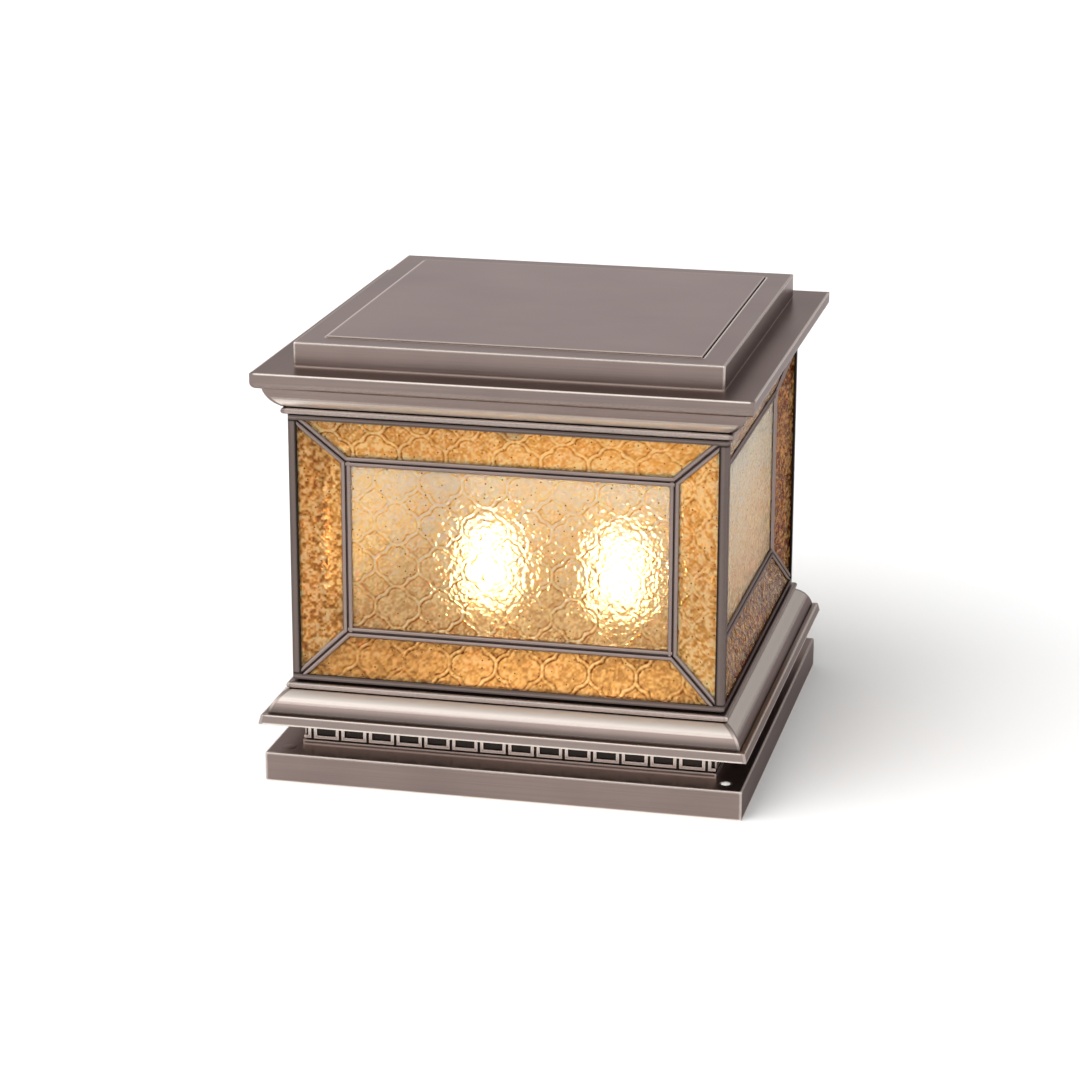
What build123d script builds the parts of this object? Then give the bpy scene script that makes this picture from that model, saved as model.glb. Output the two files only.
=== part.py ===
from build123d import *
import os
from math import hypot

# Solar pillar light: a square lantern of leaded amber glass on a moulded plinth, under a cornice cap
# that carries the solar panel. Millimetres, +Z up, origin at the centre of the base's underside.
# The front of the lantern faces -Y and its right side faces +X.

# Base tray and its fixing
BASE_WIDTH = 300.0
BASE_HEIGHT = 19.0
BASE_SHEET = 1.5
BASE_EDGE_RADIUS = 1.2
MOUNT_INSET = 11.9
MOUNT_HOLE_DIAMETER = 6.5
SLEEVE_DIAMETER = 14.0

# Pedestal that carries the fret band
PEDESTAL_SETBACK = 7.8
PEDESTAL_HEIGHT = 31.0
PEDESTAL_SHEET = 1.5
PEDESTAL_FLANGE = 16.0
LEDGE_REACH = 3.0
LEDGE_HEIGHT = 3.0

# Fret band of raised rectangular rings
FRET_PITCH = 17.85
FRET_SLOT = 1.8
FRET_LINE = 1.9
FRET_RING_HEIGHT = 12.4
FRET_GROOVE = 1.1
FRET_BACKING = 0.8
FRET_RELIEF = 1.7
FRET_HEADROOM = 0.3

# Plinth moulding
PLINTH_REACH = 17.2
PLINTH_GAP = 19.0
PLINTH_LIP_HEIGHT = 6.0
PLINTH_LIP_LEAN = 1.4
PLINTH_SHELF = 3.6
PLINTH_RISER = 1.4
PLINTH_OVOLO_HEIGHT = 12.6
PLINTH_WALL = 1.5

# Beads and hollow curves shared by the plinth and the cornice
BEAD_RADIUS = 2.1
BEAD_PROUD = 3.0
OVOLO_BULGE = 2.0
ARRIS_RADIUS = 0.6

# Glass cage
FRAME_SETBACK = 14.2
FRAME_CORNER_RADIUS = 2.4
RING_DEPTH = 8.0
SHADOW_GAP = 1.5
SHADOW_GAP_DEPTH = 3.0
BOTTOM_RAIL = 3.3
TOP_RAIL = 2.9
GLASS_OPENING = 162.6
POST_SIZE = 5.8
BORDER_SIDE = 28.0
BORDER_RISE = 26.6
PANE_SETBACK = 1.4
PANE_RECESS = 8.5
GLASS_THICKNESS = 3.0
GLASS_TUCK = 0.8
CHANNEL_CLEARANCE = 0.15
CAME_WIDTH = 6.5
CAME_BEAD_HEIGHT = 1.35
CAME_GROOVE = 0.4
CAME_SHOULDER = 0.1
CAME_BACK = 1.0
CAME_WEB = 1.2

# Floor and lampholders
FLOOR_SHEET = 1.5
FLOOR_EDGE_CLEARANCE = 0.5
LAMP_SPACING = 87.0
HOLDER_FOOT_DIAMETER = 60.0
HOLDER_FOOT_HEIGHT = 3.0
HOLDER_DIAMETER = 37.0
HOLDER_HEIGHT = 37.0
HOLDER_FLOOR = 11.0
HOLDER_RIM_RADIUS = 1.5
SOCKET_SHELL_WALL = 0.6
SOCKET_SHELL_RIM = 1.0
SOCKET_FIT = 0.1
CONTACT_DIAMETER = 12.0
CONTACT_HEIGHT = 1.2

# Screw-in lamps
THREAD_DIAMETER = 26.2
THREAD_DEPTH = 0.8
THREAD_PITCH = 3.63
THREAD_TURNS = 6
LAMP_GAP = 0.3
LAMP_TIP_DIAMETER = 9.6
LAMP_TIP_HEIGHT = 0.9
LAMP_INSULATOR_HEIGHT = 2.4
LAMP_COLLAR_GAP = 1.0
LAMP_NECK_DIAMETER = 29.0
LAMP_BODY_HEIGHT = 20.0
GLOBE_DIAMETER = 40.0
GLOBE_HEIGHT = 59.0
GLOBE_SEAT_DIAMETER = 34.0
GLOBE_WALL = 1.2

# Cornice of the cap
CORNICE_REACH = 17.5
CORNICE_HEIGHT = 28.3
CORNICE_SLAB = 10.2
CORNICE_NOSE_RADIUS = 4.4
CORNICE_FILLET = 1.2
CORNICE_INNER_SETBACK = 9.8
CORNICE_WALL = 1.5
GASKET_HEIGHT = 1.0
GASKET_WIDTH = 6.0
GASKET_SETBACK = 1.3

# Solar housing and panel
HOUSING_SETBACK = 21.3
HOUSING_SHEET = 1.5
HOUSING_EDGE_RADIUS = 1.0
PANEL_RIM = 16.4
PANEL_THICKNESS = 3.2
PANEL_PROUD = 1.0
PANEL_EDGE_GAP = 0.7
PANEL_EDGE_RADIUS = 0.4
PANEL_LEDGE = 8.0
SEAL_HEIGHT = 0.8
CELLS_HEIGHT = 2.2
CELLS_EDGE_GAP = 1.0

# Ceiling pan and what it carries
PAN_SHEET = 1.5
PAN_FLANGE_HEIGHT = 14.0
PAN_CLEARANCE = 0.15
CLIP_SHEET = 0.8
CLIP_WIDTH = 16.0
CLIP_FOOT = 12.0
CLIP_LEG = 11.0
CLIP_GAP = 0.3
CELL_DIAMETER = 32.0
CELL_LENGTH = 67.5
CELL_CLEARANCE = 0.4
BATTERY_WALL = 2.0
BATTERY_FLANGE = 10.0
BATTERY_HEADROOM = 2.9
HATCH_SHEET = 1.2
HATCH_PAD = 1.7
BOARD_LENGTH = 70.0
BOARD_WIDTH = 50.0
BOARD_THICKNESS = 1.6
STUD_DIAMETER = 6.0
STUD_HEIGHT = 6.0
STUD_INSET = 5.0
COIL_SIZE = 14.0
COIL_HEIGHT = 8.0
CAPACITOR_DIAMETER = 10.0
CAPACITOR_HEIGHT = 16.0
TERMINAL_LENGTH = 30.0
TERMINAL_WIDTH = 8.0
TERMINAL_HEIGHT = 10.0
SWITCH_BARREL_DIAMETER = 12.0
SWITCH_BARREL_HEIGHT = 19.0
SWITCH_BEZEL_DIAMETER = 17.0
SWITCH_BEZEL_HEIGHT = 2.0
BUTTON_DIAMETER = 9.0
BUTTON_LENGTH = 7.2
BUTTON_PROUD = 2.5
BUTTON_TRAVEL = 1.5
BUTTON_CLEARANCE = 0.3
BUTTON_EDGE_RADIUS = 0.8
GLAND_BARREL_DIAMETER = 12.0
GLAND_BARREL_HEIGHT = 8.0
GLAND_MOUTH_DIAMETER = 8.0
GLAND_MOUTH_DEPTH = 2.0
GLAND_HEX_RADIUS = 10.0
GLAND_HEX_HEIGHT = 4.0
GLAND_NUT_HEIGHT = 3.0

# Places on the ceiling pan, as shares of its half width
BATTERY_SHARE = (-0.40, 0.32)
BOARD_SHARE = (0.44, 0.32)
SWITCH_SHARE = (0.48, -0.48)
GLAND_SHARE = (-0.48, -0.48)

# Pan-head screws, all alike
SCREW_SHANK_DIAMETER = 3.9
SCREW_LENGTH = 8.0
SCREW_HEAD_DIAMETER = 7.0
SCREW_HEAD_HEIGHT = 2.4
SCREW_HOLE_CLEARANCE = 0.1
SCREW_SPREAD = 80.0
SIDE_FIT = 0.2

# Heights that follow from the stack of pieces
BASE_TOP = BASE_HEIGHT
LEDGE_TOP = BASE_TOP + LEDGE_HEIGHT
PEDESTAL_TOP = BASE_TOP + PEDESTAL_HEIGHT
FLOOR_TOP = PEDESTAL_TOP + FLOOR_SHEET
PLINTH_BOTTOM = BASE_TOP + PLINTH_GAP
SHELF_Z = PLINTH_BOTTOM + PLINTH_LIP_HEIGHT
PLINTH_OVOLO_Z = SHELF_Z + PLINTH_RISER
PLINTH_BEAD_Z = PLINTH_OVOLO_Z + PLINTH_OVOLO_HEIGHT
PLINTH_TOP = PLINTH_BEAD_Z + 2 * BEAD_RADIUS
RAIL_BOTTOM = PLINTH_TOP + SHADOW_GAP
GLASS_BOTTOM = RAIL_BOTTOM + BOTTOM_RAIL
GLASS_TOP = GLASS_BOTTOM + GLASS_OPENING
FRAME_TOP = GLASS_TOP + TOP_RAIL
CAP_BOTTOM = FRAME_TOP + GASKET_HEIGHT
CORNICE_TOP = CAP_BOTTOM + CORNICE_HEIGHT
PAN_TOP = CAP_BOTTOM + PAN_SHEET

# The cap is as tall as the battery under the panel needs
HATCH_TOP = CAP_BOTTOM + HATCH_PAD
CELL_AXIS = HATCH_TOP + CELL_CLEARANCE + CELL_DIAMETER / 2
BAY_TOP = CELL_AXIS + CELL_DIAMETER / 2 + CELL_CLEARANCE
CELLS_BOTTOM = BAY_TOP + BATTERY_WALL + BATTERY_HEADROOM
PANEL_BOTTOM = CELLS_BOTTOM + CELLS_HEIGHT
PANEL_TOP = PANEL_BOTTOM + PANEL_THICKNESS
HOUSING_TOP = PANEL_TOP - PANEL_PROUD
SEAL_BOTTOM = PANEL_BOTTOM - SEAL_HEIGHT

# Half widths, measured from the centre line: the cage stands back from the base, and the pedestal,
# the plinth and the cornice are set from the cage
BASE_HALF = BASE_WIDTH / 2
FRAME_HALF = BASE_HALF - FRAME_SETBACK
RING_INNER = FRAME_HALF - RING_DEPTH
WINDOW_HALF = FRAME_HALF - POST_SIZE
BEAD_HALF = FRAME_HALF + BEAD_PROUD
PEDESTAL_HALF = FRAME_HALF - PEDESTAL_SETBACK
PLINTH_HALF = FRAME_HALF + PLINTH_REACH
PLINTH_BACK = PEDESTAL_HALF + SIDE_FIT
CORNICE_HALF = FRAME_HALF + CORNICE_REACH
CORNICE_BACK = FRAME_HALF - CORNICE_INNER_SETBACK
HOUSING_HALF = CORNICE_HALF - HOUSING_SETBACK
PANEL_HALF = HOUSING_HALF - PANEL_RIM
POCKET_HALF = PANEL_HALF + PANEL_EDGE_GAP
PAN_HALF = CORNICE_BACK - PAN_CLEARANCE


def on_pan(share):
    """A place on the ceiling pan, from its shares of the pan's half width."""
    return share[0] * PAN_HALF, share[1] * PAN_HALF


BATTERY_CENTRE = on_pan(BATTERY_SHARE)
BOARD_CENTRE = on_pan(BOARD_SHARE)
SWITCH_CENTRE = on_pan(SWITCH_SHARE)
GLAND_CENTRE = on_pan(GLAND_SHARE)

# The four sides, each turned about Z from the right-hand side
SIDE_NAMES = ("right", "back", "left", "front")
SIDES = {name: 360 / len(SIDE_NAMES) * index for index, name in enumerate(SIDE_NAMES)}


def turned(shape, angle):
    """The shape turned about the vertical axis by an angle in degrees."""
    return Rot(0, 0, angle) * shape


def square_block(half, low, high):
    """A square block about the Z axis between two heights."""
    return Pos(0, 0, (low + high) / 2) * Box(2 * half, 2 * half, high - low)


def square_ring(outer, inner, low, high):
    """A square ring about the Z axis, given by its half widths and heights."""
    return square_block(outer, low, high) - square_block(inner, low, high)


def upright(shape):
    """The vertical edges of a shape."""
    return shape.edges().filter_by(Axis.Z)


def rounded_block(half, low, high, radius):
    """A square block with its upright corners and its top edge rounded over, as folded sheet has."""
    block = square_block(half, low, high)
    block = fillet(upright(block), radius)
    return fillet(block.faces().sort_by(Axis.Z)[-1].edges(), radius)


def upright_rod(x, y, low, high, diameter):
    """A vertical rod between two heights."""
    return Pos(x, y, (low + high) / 2) * Cylinder(diameter / 2, high - low)


def turned_profile(points):
    """A body of revolution about Z from a closed outline of (radius, height) points."""
    outline = Plane.XZ * make_face(Polyline(*points, close=True))
    return revolve(outline, Axis.Z, 360)


def side_wedge(reach, low, high):
    """The right-hand quarter of the plan, between the two diagonals."""
    plan = make_face(Polyline((0, 0), (reach, -reach), (reach, reach), close=True))
    return Pos(0, 0, low) * extrude(plan, high - low)


def mitred_length(profile, reach, low, high):
    """A profile of (distance from the centre, height) run along the right side and mitred at 45 degrees."""
    bar = extrude(Plane.XZ * profile, reach, both=True)
    return bar & side_wedge(reach, low - 1, high + 1)


def outline_face(curves):
    """A flat face inside a closed run of lines and arcs."""
    return make_face([edge for curve in curves for edge in curve.edges()])


def bulged_arc(start, end, bulge):
    """An arc from start to end that swells to the left of its chord by the bulge at its middle."""
    across, rise = end[0] - start[0], end[1] - start[1]
    share = bulge / hypot(across, rise)
    middle = ((start[0] + end[0]) / 2 - rise * share, (start[1] + end[1]) / 2 + across * share)
    return ThreePointArc(start, middle, end)


def side_positions(distance, spread):
    """Two places on each of the four sides, as (side angle, distance out, offset along the side)."""
    return [(angle, distance, along) for angle in SIDES.values() for along in (-spread, spread)]


def screw():
    """A pan-head screw with its seat at the origin, its head above and its shank pointing down."""
    head = Pos(0, 0, SCREW_HEAD_HEIGHT / 2) * Cylinder(SCREW_HEAD_DIAMETER / 2, SCREW_HEAD_HEIGHT)
    head = fillet(head.edges().sort_by(Axis.Z)[-1], SCREW_HEAD_HEIGHT / 3)
    return head + Pos(0, 0, -SCREW_LENGTH / 2) * Cylinder(SCREW_SHANK_DIAMETER / 2, SCREW_LENGTH)


def screw_hole():
    """The clearance hole for a screw that is placed the same way."""
    radius = SCREW_SHANK_DIAMETER / 2 + SCREW_HOLE_CLEARANCE
    return Pos(0, 0, -SCREW_LENGTH / 2) * Cylinder(radius, SCREW_LENGTH + 1)


# Screw places: each is a location whose +Z points out of the screw's head
PEDESTAL_SCREWS = [
    Rot(0, 0, angle) * Pos(out, along, BASE_TOP + PEDESTAL_SHEET)
    for angle, out, along in side_positions(PEDESTAL_HALF - PEDESTAL_FLANGE / 2, SCREW_SPREAD)
]
PLINTH_SCREWS = [
    Rot(0, 0, angle) * Pos(out, along, (PLINTH_BOTTOM + PEDESTAL_TOP) / 2) * Rot(0, -90, 0)
    for angle, out, along in side_positions(PEDESTAL_HALF - PEDESTAL_SHEET, SCREW_SPREAD)
]
FLOOR_SCREWS = [
    Rot(0, 0, angle) * Pos(PEDESTAL_HALF - PEDESTAL_FLANGE / 2, 0, FLOOR_TOP) for angle in SIDES.values()
]
HOLDER_SCREW_OFFSET = (HOLDER_DIAMETER + HOLDER_FOOT_DIAMETER) / 4
HOLDER_SCREWS = [
    Pos(x, y, BASE_TOP + HOLDER_FOOT_HEIGHT)
    for x in (-LAMP_SPACING / 2, LAMP_SPACING / 2)
    for y in (-HOLDER_SCREW_OFFSET, HOLDER_SCREW_OFFSET)
]
PAN_SCREW = Pos(PAN_HALF - PAN_SHEET, SCREW_SPREAD, CAP_BOTTOM + PAN_FLANGE_HEIGHT / 2) * Rot(0, -90, 0)
PAN_SCREWS = [Rot(0, 0, angle) * PAN_SCREW for angle in SIDES.values()]
BATTERY_BAY = (CELL_LENGTH + 2 * CELL_CLEARANCE, 2 * CELL_DIAMETER + 3 * CELL_CLEARANCE)
BATTERY_FOOT = (BATTERY_BAY[0] + 2 * BATTERY_WALL + 2 * BATTERY_FLANGE, BATTERY_BAY[1] + 2 * BATTERY_WALL)
BATTERY_PLACE = Pos(BATTERY_CENTRE[0], BATTERY_CENTRE[1], 0)
HATCH_SCREW_X = (BATTERY_FOOT[0] - BATTERY_FLANGE) / 2
HATCH_SCREW_Y = BATTERY_BAY[1] / 3
HATCH_SCREWS = [
    BATTERY_PLACE * Pos(x, y, CAP_BOTTOM - HATCH_SHEET) * Rot(180, 0, 0)
    for x in (-HATCH_SCREW_X, HATCH_SCREW_X)
    for y in (-HATCH_SCREW_Y, HATCH_SCREW_Y)
]


def drilled(shape, places):
    """The shape with a screw's clearance hole at each place."""
    for place in places:
        shape -= place * screw_hole()
    return shape


def base_tray():
    """The folded base: a square tray open underneath, with a bolt hole in each corner of its top."""
    tray = rounded_block(BASE_HALF, 0, BASE_TOP, BASE_EDGE_RADIUS)
    tray -= square_block(BASE_HALF - BASE_SHEET, -BASE_SHEET, BASE_TOP - BASE_SHEET)
    for x, y in mount_places():
        tray -= upright_rod(x, y, 0, BASE_TOP + 1, MOUNT_HOLE_DIAMETER)
    return drilled(tray, PEDESTAL_SCREWS + HOLDER_SCREWS)


def mount_places():
    """The four bolt holes near the corners of the base."""
    place = BASE_HALF - MOUNT_INSET
    return [(x, y) for x in (-place, place) for y in (-place, place)]


def bolt_sleeves():
    """Spacer tubes under the bolt holes, so that the bolts don't crush the tray."""
    top = BASE_TOP - BASE_SHEET
    return [
        upright_rod(x, y, 0, top, SLEEVE_DIAMETER) - upright_rod(x, y, -1, top + 1, MOUNT_HOLE_DIAMETER)
        for x, y in mount_places()
    ]


def pedestal():
    """A square tube with inward flanges top and bottom and a ledge round its foot."""
    inside = PEDESTAL_HALF - PEDESTAL_SHEET
    tube = square_ring(PEDESTAL_HALF, inside, BASE_TOP, PEDESTAL_TOP)
    for low in (BASE_TOP, PEDESTAL_TOP - PEDESTAL_SHEET):
        tube += square_ring(PEDESTAL_HALF, PEDESTAL_HALF - PEDESTAL_FLANGE, low, low + PEDESTAL_SHEET)
    tube += square_ring(PEDESTAL_HALF + LEDGE_REACH, inside, BASE_TOP, LEDGE_TOP)
    return drilled(tube, PEDESTAL_SCREWS + PLINTH_SCREWS + FLOOR_SCREWS)


def fret_side():
    """One strip of fret: a thin backing that carries a row of raised rings between narrow slots."""
    back = PEDESTAL_HALF
    face = back + FRET_BACKING
    front = face + FRET_RELIEF
    strip_top = PLINTH_BOTTOM - FRET_HEADROOM
    ring_low = LEDGE_TOP + FRET_GROOVE
    ring_high = min(ring_low + FRET_RING_HEIGHT, strip_top)
    ring_middle = (ring_low + ring_high) / 2
    ring_width = FRET_PITCH - FRET_SLOT
    backing = Box(FRET_BACKING, 2 * front, strip_top - LEDGE_TOP)
    strip = Pos((back + face) / 2, 0, (LEDGE_TOP + strip_top) / 2) * backing
    ring = Box(FRET_RELIEF, ring_width, ring_high - ring_low)
    ring -= Box(FRET_RELIEF, ring_width - 2 * FRET_LINE, ring_high - ring_low - 2 * FRET_LINE)
    side_count = int(front / FRET_PITCH) + 1
    for step in range(-side_count, side_count):
        strip += Pos((face + front) / 2, (step + 0.5) * FRET_PITCH, ring_middle) * ring
    return strip & side_wedge(2 * front, LEDGE_TOP, strip_top)


def bead_arc(centre, low):
    """A half-round bead from its foot to its top, with its middle at a distance from the centre line."""
    middle = (centre + BEAD_RADIUS, low + BEAD_RADIUS)
    return ThreePointArc((centre, low), middle, (centre, low + 2 * BEAD_RADIUS))


def plinth_side():
    """One mitred hollow length of the plinth: a leaning lip, a shelf, an ovolo and a bead."""
    lip = (PLINTH_HALF, PLINTH_BOTTOM)
    lip_top = (PLINTH_HALF - PLINTH_LIP_LEAN, SHELF_Z)
    shelf = (lip_top[0] - PLINTH_SHELF, SHELF_Z)
    riser = (shelf[0], PLINTH_OVOLO_Z)
    bead_centre = BEAD_HALF - BEAD_RADIUS
    neck = (bead_centre, PLINTH_BEAD_Z)
    crest = (bead_centre, PLINTH_TOP)
    outline = [
        Polyline((PLINTH_BACK, PLINTH_BOTTOM), lip, lip_top, shelf, riser),
        bulged_arc(riser, neck, -OVOLO_BULGE),
        bead_arc(bead_centre, PLINTH_BEAD_Z),
        Polyline(crest, (PLINTH_BACK, PLINTH_TOP), (PLINTH_BACK, PLINTH_BOTTOM)),
    ]
    core_low, core_high = PLINTH_BOTTOM + PLINTH_WALL, PLINTH_TOP - PLINTH_WALL
    core_back = PLINTH_BACK + PLINTH_WALL
    core_lip = lip_top[0] - PLINTH_WALL
    core_riser = (riser[0] - PLINTH_WALL, riser[1])
    core_neck = (neck[0] - PLINTH_WALL, neck[1])
    core = [
        Polyline(
            (core_back, core_low), (core_lip, core_low), (core_lip, SHELF_Z - PLINTH_WALL),
            (core_riser[0], SHELF_Z - PLINTH_WALL), core_riser,
        ),
        bulged_arc(core_riser, core_neck, -OVOLO_BULGE),
        Polyline(core_neck, (core_neck[0], core_high), (core_back, core_high), (core_back, core_low)),
    ]
    profile = outline_face(outline)
    arrises = profile.vertices().filter_by(lambda corner: corner.X > shelf[0] + PLINTH_SHELF / 2)
    profile = fillet(arrises, ARRIS_RADIUS) - outline_face(core)
    length = mitred_length(profile, 2 * PLINTH_HALF, PLINTH_BOTTOM, PLINTH_TOP)
    return drilled(length, PLINTH_SCREWS)


def floor_plate():
    """The lantern's floor, on the pedestal's top flange, with a hole for each lampholder."""
    plate = square_block(PEDESTAL_HALF - FLOOR_EDGE_CLEARANCE, PEDESTAL_TOP, FLOOR_TOP)
    for x in (-LAMP_SPACING / 2, LAMP_SPACING / 2):
        plate -= upright_rod(x, 0, PEDESTAL_TOP, FLOOR_TOP, HOLDER_DIAMETER + 2 * FLOOR_EDGE_CLEARANCE)
    return drilled(plate, FLOOR_SCREWS)


def face_point(across, height, depth):
    """A point on the right-hand face: across it, at a height, and set back from its outer plane."""
    return Vector(FRAME_HALF - depth, across, height)


def came_corners():
    """The outer and inner corners of the came lines on the right-hand face, in order round the face."""
    corners = []
    for side, end in ((-1, -1), (1, -1), (1, 1), (-1, 1)):
        outer_height = GLASS_BOTTOM if end < 0 else GLASS_TOP
        inner_height = outer_height - end * BORDER_RISE
        outer = face_point(side * WINDOW_HALF, outer_height, PANE_SETBACK)
        inner = face_point(side * (WINDOW_HALF - BORDER_SIDE), inner_height, PANE_SETBACK + PANE_RECESS)
        corners.append((outer, inner))
    return corners


def window_block(tuck):
    """The window of the right-hand face between its posts and rails, reaching under them by the tuck."""
    depth = PANE_SETBACK + PANE_RECESS + 4 * GLASS_THICKNESS
    width = 2 * (WINDOW_HALF + tuck)
    height = GLASS_OPENING + 2 * tuck
    return Pos(FRAME_HALF - depth / 2, 0, (GLASS_BOTTOM + GLASS_TOP) / 2) * Box(depth, width, height)


def inset_polygon(points, steps):
    """A flat polygon with each edge moved inwards by its own step; edge i starts at point i."""
    normal = (points[1] - points[0]).cross(points[2] - points[1]).normalized()
    moved = []
    for index, here in enumerate(points):
        arriving = (here - points[index - 1]).normalized()
        leaving = (points[(index + 1) % len(points)] - here).normalized()
        sine = arriving.cross(leaving).dot(normal)
        moved.append(here - arriving * (steps[index] / sine) + leaving * (steps[index - 1] / sine))
    return moved


def glass_pane(points, steps, grow):
    """A pane of glass behind a polygon; grow adds the channel's clearance all round it."""
    outline = inset_polygon(points, [step - grow for step in steps])
    outward = outward_normal(points)
    face = make_face(Polyline(*outline, close=True))
    pane = extrude(face, GLASS_THICKNESS + grow, dir=outward * -1)
    if grow:
        pane += extrude(face, grow, dir=outward)
    return pane & window_block(GLASS_TUCK + grow)


def outward_normal(points):
    """The direction out of the lantern, square to a flat polygon on the right-hand face."""
    normal = (points[1] - points[0]).cross(points[2] - points[1]).normalized()
    return normal if normal.X > 0 else normal * -1


def border_polygon(index):
    """The came lines round one border pane: its outer edge, a mitre, its inner edge, a mitre."""
    corners = came_corners()
    outer, inner = corners[index]
    next_outer, next_inner = corners[(index + 1) % len(corners)]
    return [outer, next_outer, next_inner, inner]


def border_pane(index, grow=0.0):
    """One sloping border pane of the right-hand face."""
    came_step = CAME_WEB / 2 + CHANNEL_CLEARANCE
    steps = [-(GLASS_TUCK + GLASS_THICKNESS), came_step, came_step, came_step]
    return glass_pane(border_polygon(index), steps, grow)


def centre_pane(grow=0.0):
    """The flat centre pane of the right-hand face."""
    points = [inner for outer, inner in came_corners()]
    return glass_pane(points, [CAME_WEB / 2 + CHANNEL_CLEARANCE] * len(points), grow)


def channels():
    """The space that the panes of the right-hand face take up, with their clearance."""
    return [centre_pane(CHANNEL_CLEARANCE)] + [border_pane(index, CHANNEL_CLEARANCE) for index in range(4)]


def came_profile():
    """The section of a came: a double bead in front, a web and a flat strip behind the glass."""
    half = CAME_WIDTH / 2
    groove = CAME_GROOVE / 2
    back = -(GLASS_THICKNESS + CAME_BACK)
    crest = CAME_SHOULDER + CAME_BEAD_HEIGHT
    middle = (half + groove) / 2
    outline = [
        Polyline((-half, CAME_SHOULDER), (-half, back), (half, back), (half, CAME_SHOULDER)),
        ThreePointArc((half, CAME_SHOULDER), (middle, crest), (groove, CAME_SHOULDER)),
        Line((groove, CAME_SHOULDER), (-groove, CAME_SHOULDER)),
        ThreePointArc((-groove, CAME_SHOULDER), (-middle, crest), (-half, CAME_SHOULDER)),
    ]
    return outline_face(outline)


def came_bar(start, end, outward):
    """A straight came along a line, with its beads towards the outside."""
    along = (end - start).normalized()
    section = Plane(origin=start, x_dir=outward.cross(along), z_dir=along) * came_profile()
    return extrude(section, (end - start).length, dir=along)


def face_cames():
    """The eight cames of the right-hand face, coped into each other: four round the centre, four mitres."""
    corners = came_corners()
    outwards = [outward_normal(border_polygon(index)) for index in range(4)]
    facing = Vector(1, 0, 0)
    inner_bars = [
        came_bar(corners[index][1], corners[(index + 1) % 4][1], (outwards[index] + facing).normalized())
        for index in range(4)
    ]
    level_bars = inner_bars[0::2]
    upright_bars = [bar - level_bars[0] - level_bars[1] for bar in inner_bars[1::2]]
    bars = level_bars + upright_bars
    room = window_block(0) & side_wedge(2 * FRAME_HALF, GLASS_BOTTOM, GLASS_TOP)
    for index, (outer, inner) in enumerate(corners):
        outward = (outwards[index] + outwards[index - 1]).normalized()
        mitre = came_bar(inner, outer + (outer - inner).normalized() * CAME_WIDTH, outward) & room
        for bar in inner_bars:
            mitre -= bar
        bars.append(mitre)
    for channel in channels():
        bars = [bar - channel for bar in bars]
    return [largest(bar) for bar in bars]


def largest(shape):
    """The main solid of a coped bar, without the trimmings that coping leaves."""
    return shape.solids().sort_by(SortBy.VOLUME)[-1]


def grooved(shape, angles):
    """A bar of the cage with the glass channels of the faces at these angles cut into it."""
    for angle in angles:
        for channel in channels():
            shape -= turned(channel, angle)
    return shape


def bottom_ring():
    """The lower square ring of the cage, set back at its foot to leave a shadow gap."""
    foot = FRAME_HALF - SHADOW_GAP_DEPTH
    rail = fillet(upright(square_block(FRAME_HALF, RAIL_BOTTOM, GLASS_BOTTOM)), FRAME_CORNER_RADIUS)
    rail += square_block(foot, PLINTH_TOP, RAIL_BOTTOM)
    rail -= square_block(RING_INNER, PLINTH_TOP, GLASS_BOTTOM)
    return grooved(rail, SIDES.values())


def top_ring():
    """The upper square ring of the cage, which the cap sits on."""
    rail = fillet(upright(square_block(FRAME_HALF, GLASS_TOP, FRAME_TOP)), FRAME_CORNER_RADIUS)
    rail -= square_block(RING_INNER, GLASS_TOP, FRAME_TOP)
    return grooved(rail, SIDES.values())


def corner_post():
    """The upright between the right and back faces, rounded outside and grooved for the border panes."""
    middle = FRAME_HALF - POST_SIZE / 2
    post = Pos(middle, middle, (GLASS_BOTTOM + GLASS_TOP) / 2) * Box(POST_SIZE, POST_SIZE, GLASS_OPENING)
    outer_edge = upright(post).sort_by(lambda edge: edge.center().X + edge.center().Y)[-1]
    return grooved(fillet(outer_edge, FRAME_CORNER_RADIUS), (SIDES["right"], SIDES["back"]))


# Heights of the lampholder and the lamp
HOLDER_TOP = BASE_TOP + HOLDER_HEIGHT
SOCKET_FLOOR = BASE_TOP + HOLDER_FLOOR
SHELL_INNER = THREAD_DIAMETER / 2 + LAMP_GAP
SHELL_OUTER = SHELL_INNER + SOCKET_SHELL_WALL
LAMP_BOTTOM = SOCKET_FLOOR + CONTACT_HEIGHT + LAMP_GAP
LAMP_COLLAR = HOLDER_TOP + LAMP_COLLAR_GAP
GLOBE_BOTTOM = LAMP_COLLAR + LAMP_BODY_HEIGHT


def lampholder():
    """A ceramic lampholder on a round foot, standing at the origin of its own axis."""
    foot, barrel = HOLDER_FOOT_DIAMETER / 2, HOLDER_DIAMETER / 2
    socket = SHELL_OUTER + SOCKET_FIT
    foot_top = BASE_TOP + HOLDER_FOOT_HEIGHT
    holder = turned_profile([
        (0, BASE_TOP), (foot, BASE_TOP), (foot, foot_top), (barrel, foot_top), (barrel, HOLDER_TOP),
        (socket, HOLDER_TOP), (socket, SOCKET_FLOOR), (0, SOCKET_FLOOR),
    ])
    rim = holder.edges().filter_by(GeomType.CIRCLE).filter_by(
        lambda edge: edge.center().Z > HOLDER_TOP - SOCKET_FIT and edge.radius > (socket + barrel) / 2
    )
    holder = fillet(rim, HOLDER_RIM_RADIUS)
    for offset_y in (-HOLDER_SCREW_OFFSET, HOLDER_SCREW_OFFSET):
        holder -= Pos(0, offset_y, foot_top) * screw_hole()
    return holder


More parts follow.
